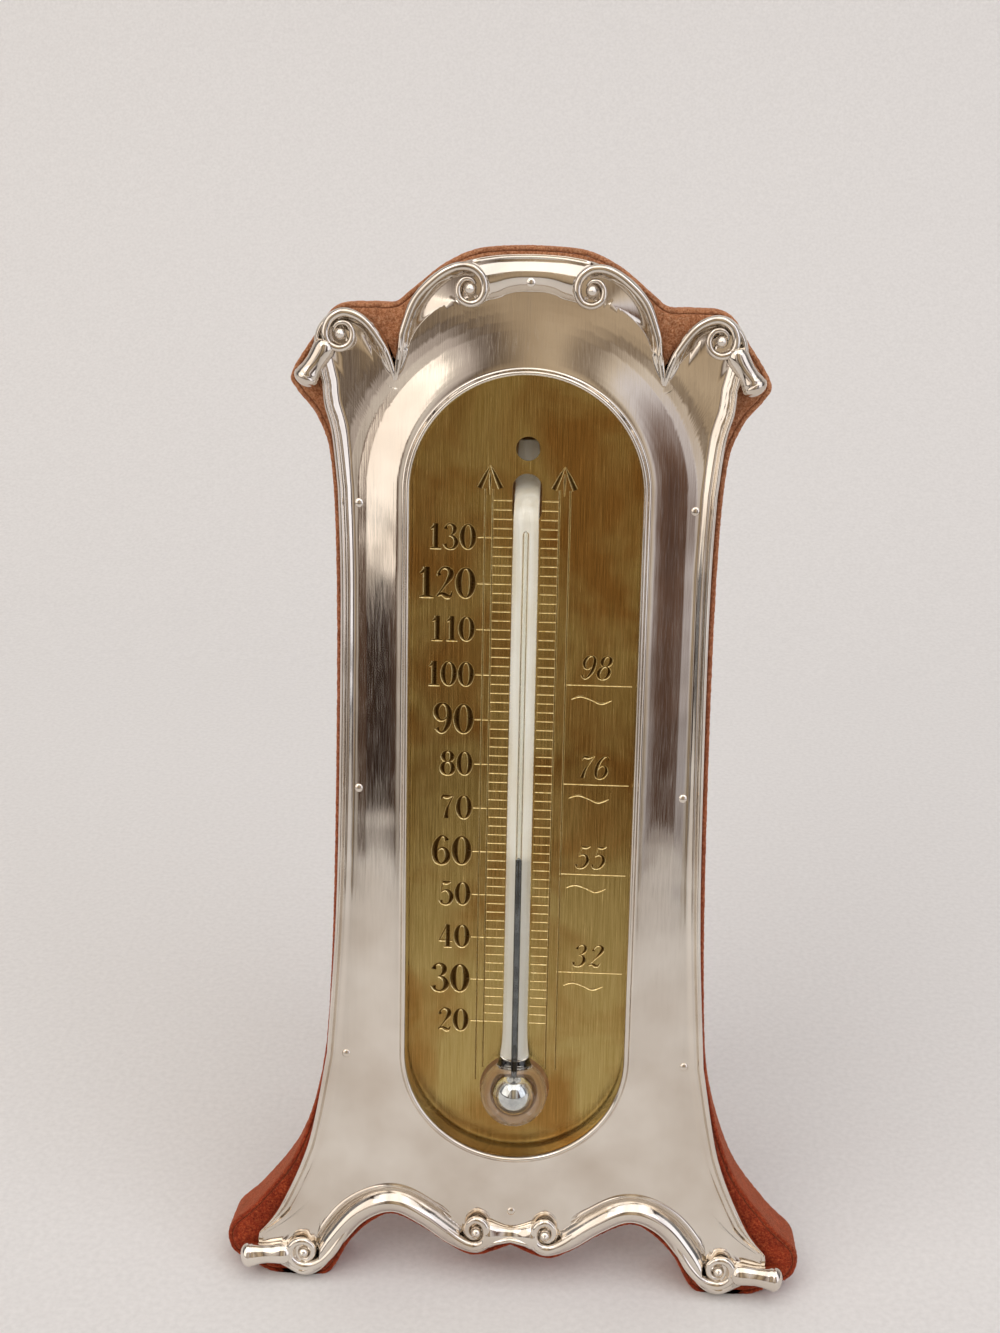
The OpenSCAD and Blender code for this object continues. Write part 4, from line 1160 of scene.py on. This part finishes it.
def liquid_mercury(name, dark, light):
    """Mercury: a liquid mirror, very slightly grey, dusted with oxide where it has stood."""
    material, tree, shader = new_material(name, Metallic=1.0)
    dust = add_node(tree, "TexNoise", {
        "Vector": board_mm(tree), "Scale": 0.7, "Detail": 3.0}).outputs["Fac"]
    colour = add_node(tree, "ValToRGB", {"Fac": dust}, stops=[(0.35, dark), (0.65, light)])
    rough = add_node(tree, "MapRange", {"Value": dust, "To Min": 0.01, "To Max": 0.06})
    wire(shader, Base_Color=colour.outputs[0], Roughness=rough.outputs[0])
    return material


def cut_velvet():
    """Cotton velvet glued down: short cut pile, rubbed rusty at the edges, browner at the top."""
    material, tree, shader = new_material(
        "cotton_velvet", Roughness=0.9, Sheen_Weight=0.7, Sheen_Roughness=0.4,
        Sheen_Tint=tone("#E7A27E"), Specular_IOR_Level=0.15)
    place = board_mm(tree)
    # Tufts of pile 0.4 mm across, and rubbed patches some 2 mm across
    pile = add_node(tree, "TexNoise", {
        "Vector": place, "Scale": 2.6, "Detail": 6.0, "Roughness": 0.8}).outputs["Fac"]
    patch = add_node(tree, "TexNoise", {
        "Vector": place, "Scale": 0.5, "Detail": 6.0, "Roughness": 0.75}).outputs["Fac"]
    up = add_node(tree, "SeparateXYZ", {"Vector": place}).outputs["Z"]
    tangled = add_node(tree, "Math", {0: patch, 1: 60.0, 2: up}, operation="MULTIPLY_ADD")
    aged = add_node(tree, "MapRange", {
        "Value": tangled.outputs[0], "From Min": 60.0, "From Max": 200.0})
    rust = add_node(tree, "ValToRGB", {"Fac": pile},
                    stops=[(0.32, "#4E140B"), (0.5, "#9A341B"), (0.68, "#CB6A3E")])
    brown = add_node(tree, "ValToRGB", {"Fac": pile},
                     stops=[(0.32, "#6E3B26"), (0.5, "#C4845C"), (0.68, "#E8BE98")])
    mixed = add_node(tree, "Mix", {
        "Factor": aged.outputs[0], 6: rust.outputs[0], 7: brown.outputs[0]}, data_type="RGBA")
    dirt = add_node(tree, "MapRange", {
        "Value": patch, "From Min": 0.36, "From Max": 0.6, "To Min": 0.74, "To Max": 1.08})
    worn = add_node(tree, "HueSaturation", {"Color": mixed.outputs[2], "Value": dirt.outputs[0]})
    bump = add_node(tree, "Bump", {"Height": pile, "Strength": 0.9, "Distance": 0.0003})
    wire(shader, Base_Color=worn.outputs[0], Normal=bump.outputs[0])
    return material


def planed_beech():
    """Beech, sawn and planed: straight grain up the board with short dark flecks."""
    material, tree, shader = new_material("planed_beech", Roughness=0.55)
    # Grain lines 0.8 mm wide and 20 mm long; flecks 0.2 mm wide and 2 mm long
    grain = add_node(tree, "TexNoise", {
        "Vector": board_mm(tree, (1.2, 1.2, 0.05)), "Scale": 1.0, "Detail": 5.0,
        "Distortion": 0.3}).outputs["Fac"]
    fleck = add_node(tree, "TexNoise", {
        "Vector": board_mm(tree, (5, 5, 0.5)), "Scale": 1.0, "Detail": 1.0})
    colour = add_node(tree, "ValToRGB", {"Fac": grain},
                      stops=[(0.3, "#A97C50"), (0.5, "#C39A6B"), (0.7, "#D2AD80")])
    dark = add_node(tree, "MapRange", {
        "Value": fleck.outputs["Fac"], "From Min": 0.6, "From Max": 0.68, "To Min": 1.0,
        "To Max": 0.72})
    flecked = add_node(tree, "HueSaturation", {
        "Color": colour.outputs[0], "Value": dark.outputs[0]})
    bump = add_node(tree, "Bump", {"Height": grain, "Strength": 0.25, "Distance": 0.0001})
    wire(shader, Base_Color=flecked.outputs[0], Normal=bump.outputs[0])
    return material


# ---------------------------------------------------------------- camera, light and floor
def photo_camera():
    """The camera of the photograph, in the board's frame: its place, and its right and up."""
    bpy.ops.object.camera_add()
    camera = bpy.context.object
    spot, across, up, zero = on_board([[12.3, 311.6, 186.0], [0.9982, -0.0566, 0.0188],
                                       [-0.0306, -0.215, 0.9761], [0, 0, 0]])
    right = Vector(across - zero).normalized()
    back = right.cross(Vector(up - zero).normalized()).normalized()
    turn = Matrix((right, back.cross(right), back)).transposed().to_4x4()
    camera.matrix_world = Matrix.Translation(Vector(spot)) @ turn
    camera.data.sensor_fit = "VERTICAL"
    camera.data.sensor_height = 36
    camera.data.lens = 49.96
    camera.data.clip_start = 0.01
    bpy.context.scene.camera = camera


def paper_sweep():
    """Floor and backdrop in one sweep: flat, a quarter turn, then upright, in metres."""
    wide, long, bend, floor_front, floor_back = 3.2, 1.2, 0.3, -0.55, 0.24
    bpy.ops.mesh.primitive_grid_add(x_subdivisions=6, y_subdivisions=64, size=2)
    floor = bpy.context.object
    floor.name = "floor_sweep"
    edit(floor)
    form = bmesh.from_edit_mesh(floor.data)
    for v in form.verts:
        run = (v.co.y + 1) * long + floor_front - floor_back
        turn = min(max(run / bend, 0), math.pi / 2)
        rest = max(run - bend * math.pi / 2, 0)
        v.co = (v.co.x * wide, floor_back + min(run, 0) + bend * math.sin(turn),
                bend * (1 - math.cos(turn)) + rest)
    bmesh.update_edit_mesh(floor.data)
    bpy.ops.object.mode_set(mode="OBJECT")
    smooth(floor, 60)
    # Paper with a grain of 1 mm, with painted shade that darkens it towards the front edge, so
    # that the metal reflects it darker
    material, tree, shader = new_material("painted_paper_sweep", Roughness=0.8)
    place = add_node(tree, "TexCoord").outputs["Object"]
    grain = add_node(tree, "TexNoise", {"Vector": place, "Scale": 900.0, "Detail": 3.0})
    colour = add_node(tree, "ValToRGB", {"Fac": grain.outputs["Fac"]},
                      stops=[(0.3, "#E2E2E2"), (0.7, "#EBEBEB")])
    front = add_node(tree, "SeparateXYZ", {"Vector": place}).outputs["Y"]
    # Painted shade: the floor darkens from 0.1 m to 0.5 m in front
    painted_front_shade = add_node(tree, "MapRange", {
        "Value": front, "From Min": -0.1, "From Max": -0.5, "To Min": 1.0, "To Max": 0.8})
    shaded = add_node(tree, "HueSaturation", {"Color": colour.outputs[0], "Value": painted_front_shade.outputs[0]})
    wire(shader, Base_Color=shaded.outputs[0])
    floor.data.materials.append(material)


def studio_air():
    """The room that the metal reflects: warm walls between upright dark flats, lighter overhead.
    The camera sees a plain pale grey in its place."""
    world = bpy.data.worlds.new("studio_air")
    bpy.context.scene.world = world
    world.use_nodes = True
    tree = world.node_tree
    sky = add_node(tree, "TexCoord").outputs["Generated"]
    way = add_node(tree, "SeparateXYZ", {"Vector": sky}).outputs
    across, upward = [add_node(tree, "MapRange", {
        "Value": way[axis], "From Min": -1.0, "From Max": 1.0}) for axis in "XZ"]
    walls = add_node(tree, "ValToRGB", {"Fac": across.outputs[0]}, stops=[
        (0.0, "#7A797C"), (0.12, "#979596"), (0.2, "#3A2C26"), (0.27, "#6E5342"),
        (0.31, "#F2E9DE"), (0.36, "#D8CCC4"), (0.42, "#6A5A4D"), (0.47, "#BFA98C"),
        (0.53, "#D8C3A6"), (0.59, "#8E7C6A"), (0.64, "#E9DAC6"), (0.69, "#F3EEF2"),
        (0.75, "#7B5D4C"), (0.8, "#33272A"), (0.88, "#A8A6A8"), (1.0, "#6A6A6E")])
    rise = add_node(tree, "ValToRGB", {"Fac": upward.outputs[0]}, stops=[
        (0.3, 0.3), (0.46, 0.55), (0.5, 0.8), (0.56, 0.9), (0.75, 0.95), (1.0, 0.85)])
    room = add_node(tree, "Mix", {"Factor": 1.0, 6: walls.outputs[0], 7: rise.outputs[0]},
                    data_type="RGBA", blend_type="MULTIPLY")
    air = tree.nodes["Background"]
    wire(air, Color=room.outputs[2])
    air.inputs["Strength"].default_value = 0.9
    plain = add_node(tree, "Background", {"Color": tone("#D9DADA"), "Strength": 1.0})
    seen = add_node(tree, "LightPath").outputs["Is Camera Ray"]
    either = add_node(tree, "MixShader", {0: seen, 1: air.outputs[0], 2: plain.outputs[0]})
    wire(tree.nodes["World Output"], Surface=either.outputs[0])


def soft_boxes():
    """Soft boxes aimed at the middle: name, place, width, height, watts, colour."""
    for name, place, wide, high, watts, colour in (
            ("left_box", (-1.1, -0.85, 0.85), 1.3, 1.6, 8.2, "#FFF6EC"),
            ("right_box", (1.15, -0.7, 0.65), 0.9, 1.5, 4.8, "#F3F5FF"),
            ("top_box", (0.05, -0.4, 1.3), 1.9, 1.1, 8.0, "#FFFFFF")):
        bpy.ops.object.light_add(type="AREA", location=place)
        lamp = bpy.context.object
        lamp.name = name
        lamp.data.shape = "RECTANGLE"
        lamp.data.size, lamp.data.size_y = wide, high
        lamp.data.energy = watts
        lamp.data.color = tone(colour)[:3]
        aim = Vector((0, 0, 0.09)) - Vector(place)
        lamp.rotation_euler = aim.to_track_quat("-Z", "Y").to_euler()


def finish(piece, material, body, slot, *nodes):
    """Gives a new piece its finish and body, and hides the CAD nodes it stands for."""
    if material is not None:
        piece.data.materials.clear()
        piece.data.materials.append(material)
    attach(piece, body)
    if nodes:
        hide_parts(*nodes)


def refinish(node, material):
    """A CAD node that stays gets its material."""
    mesh = bpy.data.objects[node].data
    mesh.materials.clear()
    mesh.materials.append(material)


# ---------------------------------------------------------------- the thermometer
photo_camera()
paper_sweep()
studio_air()
soft_boxes()
bpy.context.scene.view_settings.view_transform = "Standard"
silver = polished_silver()
brass = rolled_metal("rolled_brass", "#A58446", "#C6A765", 0.24, 0.36, (3, 3, 0.6))
steel = rolled_metal("drawn_steel", "#77797C", "#B4B7BA", 0.18, 0.34, (0.1, 3, 3))
mercury = liquid_mercury("liquid_mercury", "#C9CBCE", "#E2E4E6")
# In the bore the mercury is coloured darker than in the ball: painted shade for the dark room that
# its mirror shows
shaded_bore_mercury = liquid_mercury("mercury_in_bore", "#4E5154", "#6C6F72")
velvet = cut_velvet()
beech = planed_beech()

finish(silver_front(), silver, "root", "silver", "silver_front")
finish(silver_pins(), silver, "root", "silver_pins", "front_pins")
finish(engraved_plate(brushed_brass(), engraved_brass()), None, "root", "brass_plate",
       "scale_plate")
# Clear glass holds no light back from the enamel and mercury inside it
tube = glass()
tube.visible_shadow = False
finish(tube, drawn_glass(), "root", "glass", "glass_tube")
finish(enamel(), fused_enamel(), "root", "enamel", "enamel_strip")
finish(mercury_ball(), mercury, "root", "mercury", "mercury_bulb")
column = mercury_column()
# The thread gets the darker mercury, with its painted shade
column.data.materials.append(shaded_bore_mercury)
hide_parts("mercury_thread")
low, high = on_board([[0, STEM_N, COLUMN_FOOT_H], [0, STEM_N, STRETCH_TOP_H]])
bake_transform(column)
for piece, node in zip(velvets(), ("velvet_front", "velvet_edge", "velvet_back")):
    finish(piece, velvet, "root", "velvet", node)
for piece, node in zip(strut_cloths(), ("strut_velvet_outer", "strut_velvet_inner")):
    finish(piece, velvet, "strut", "velvet", node)
finish(slotted_screws(), brass, "root", "brass", "hinge_screws")
finish(domed_rivets(), brass, "strut", "brass", "hinge_rivets")
for node, name, body in (("hinge_board_leaf", "board_leaf", "root"),
                         ("hinge_strut_leaf", "strut_leaf", "strut")):
    finish(smooth(cad_copy(node, name, 0.1), 35), brass, body, "brass", node)
finish(smooth(cad_copy("hinge_pin", "drawn_hinge_pin", 0.12), 35), steel, "root", "steel",
       "hinge_pin")
# The meniscus gets the darker mercury, with its painted shade
refinish("mercury_meniscus", shaded_bore_mercury)
refinish("wood_board", beech)
refinish("strut_board", beech)
refinish("plate_pins", brass)
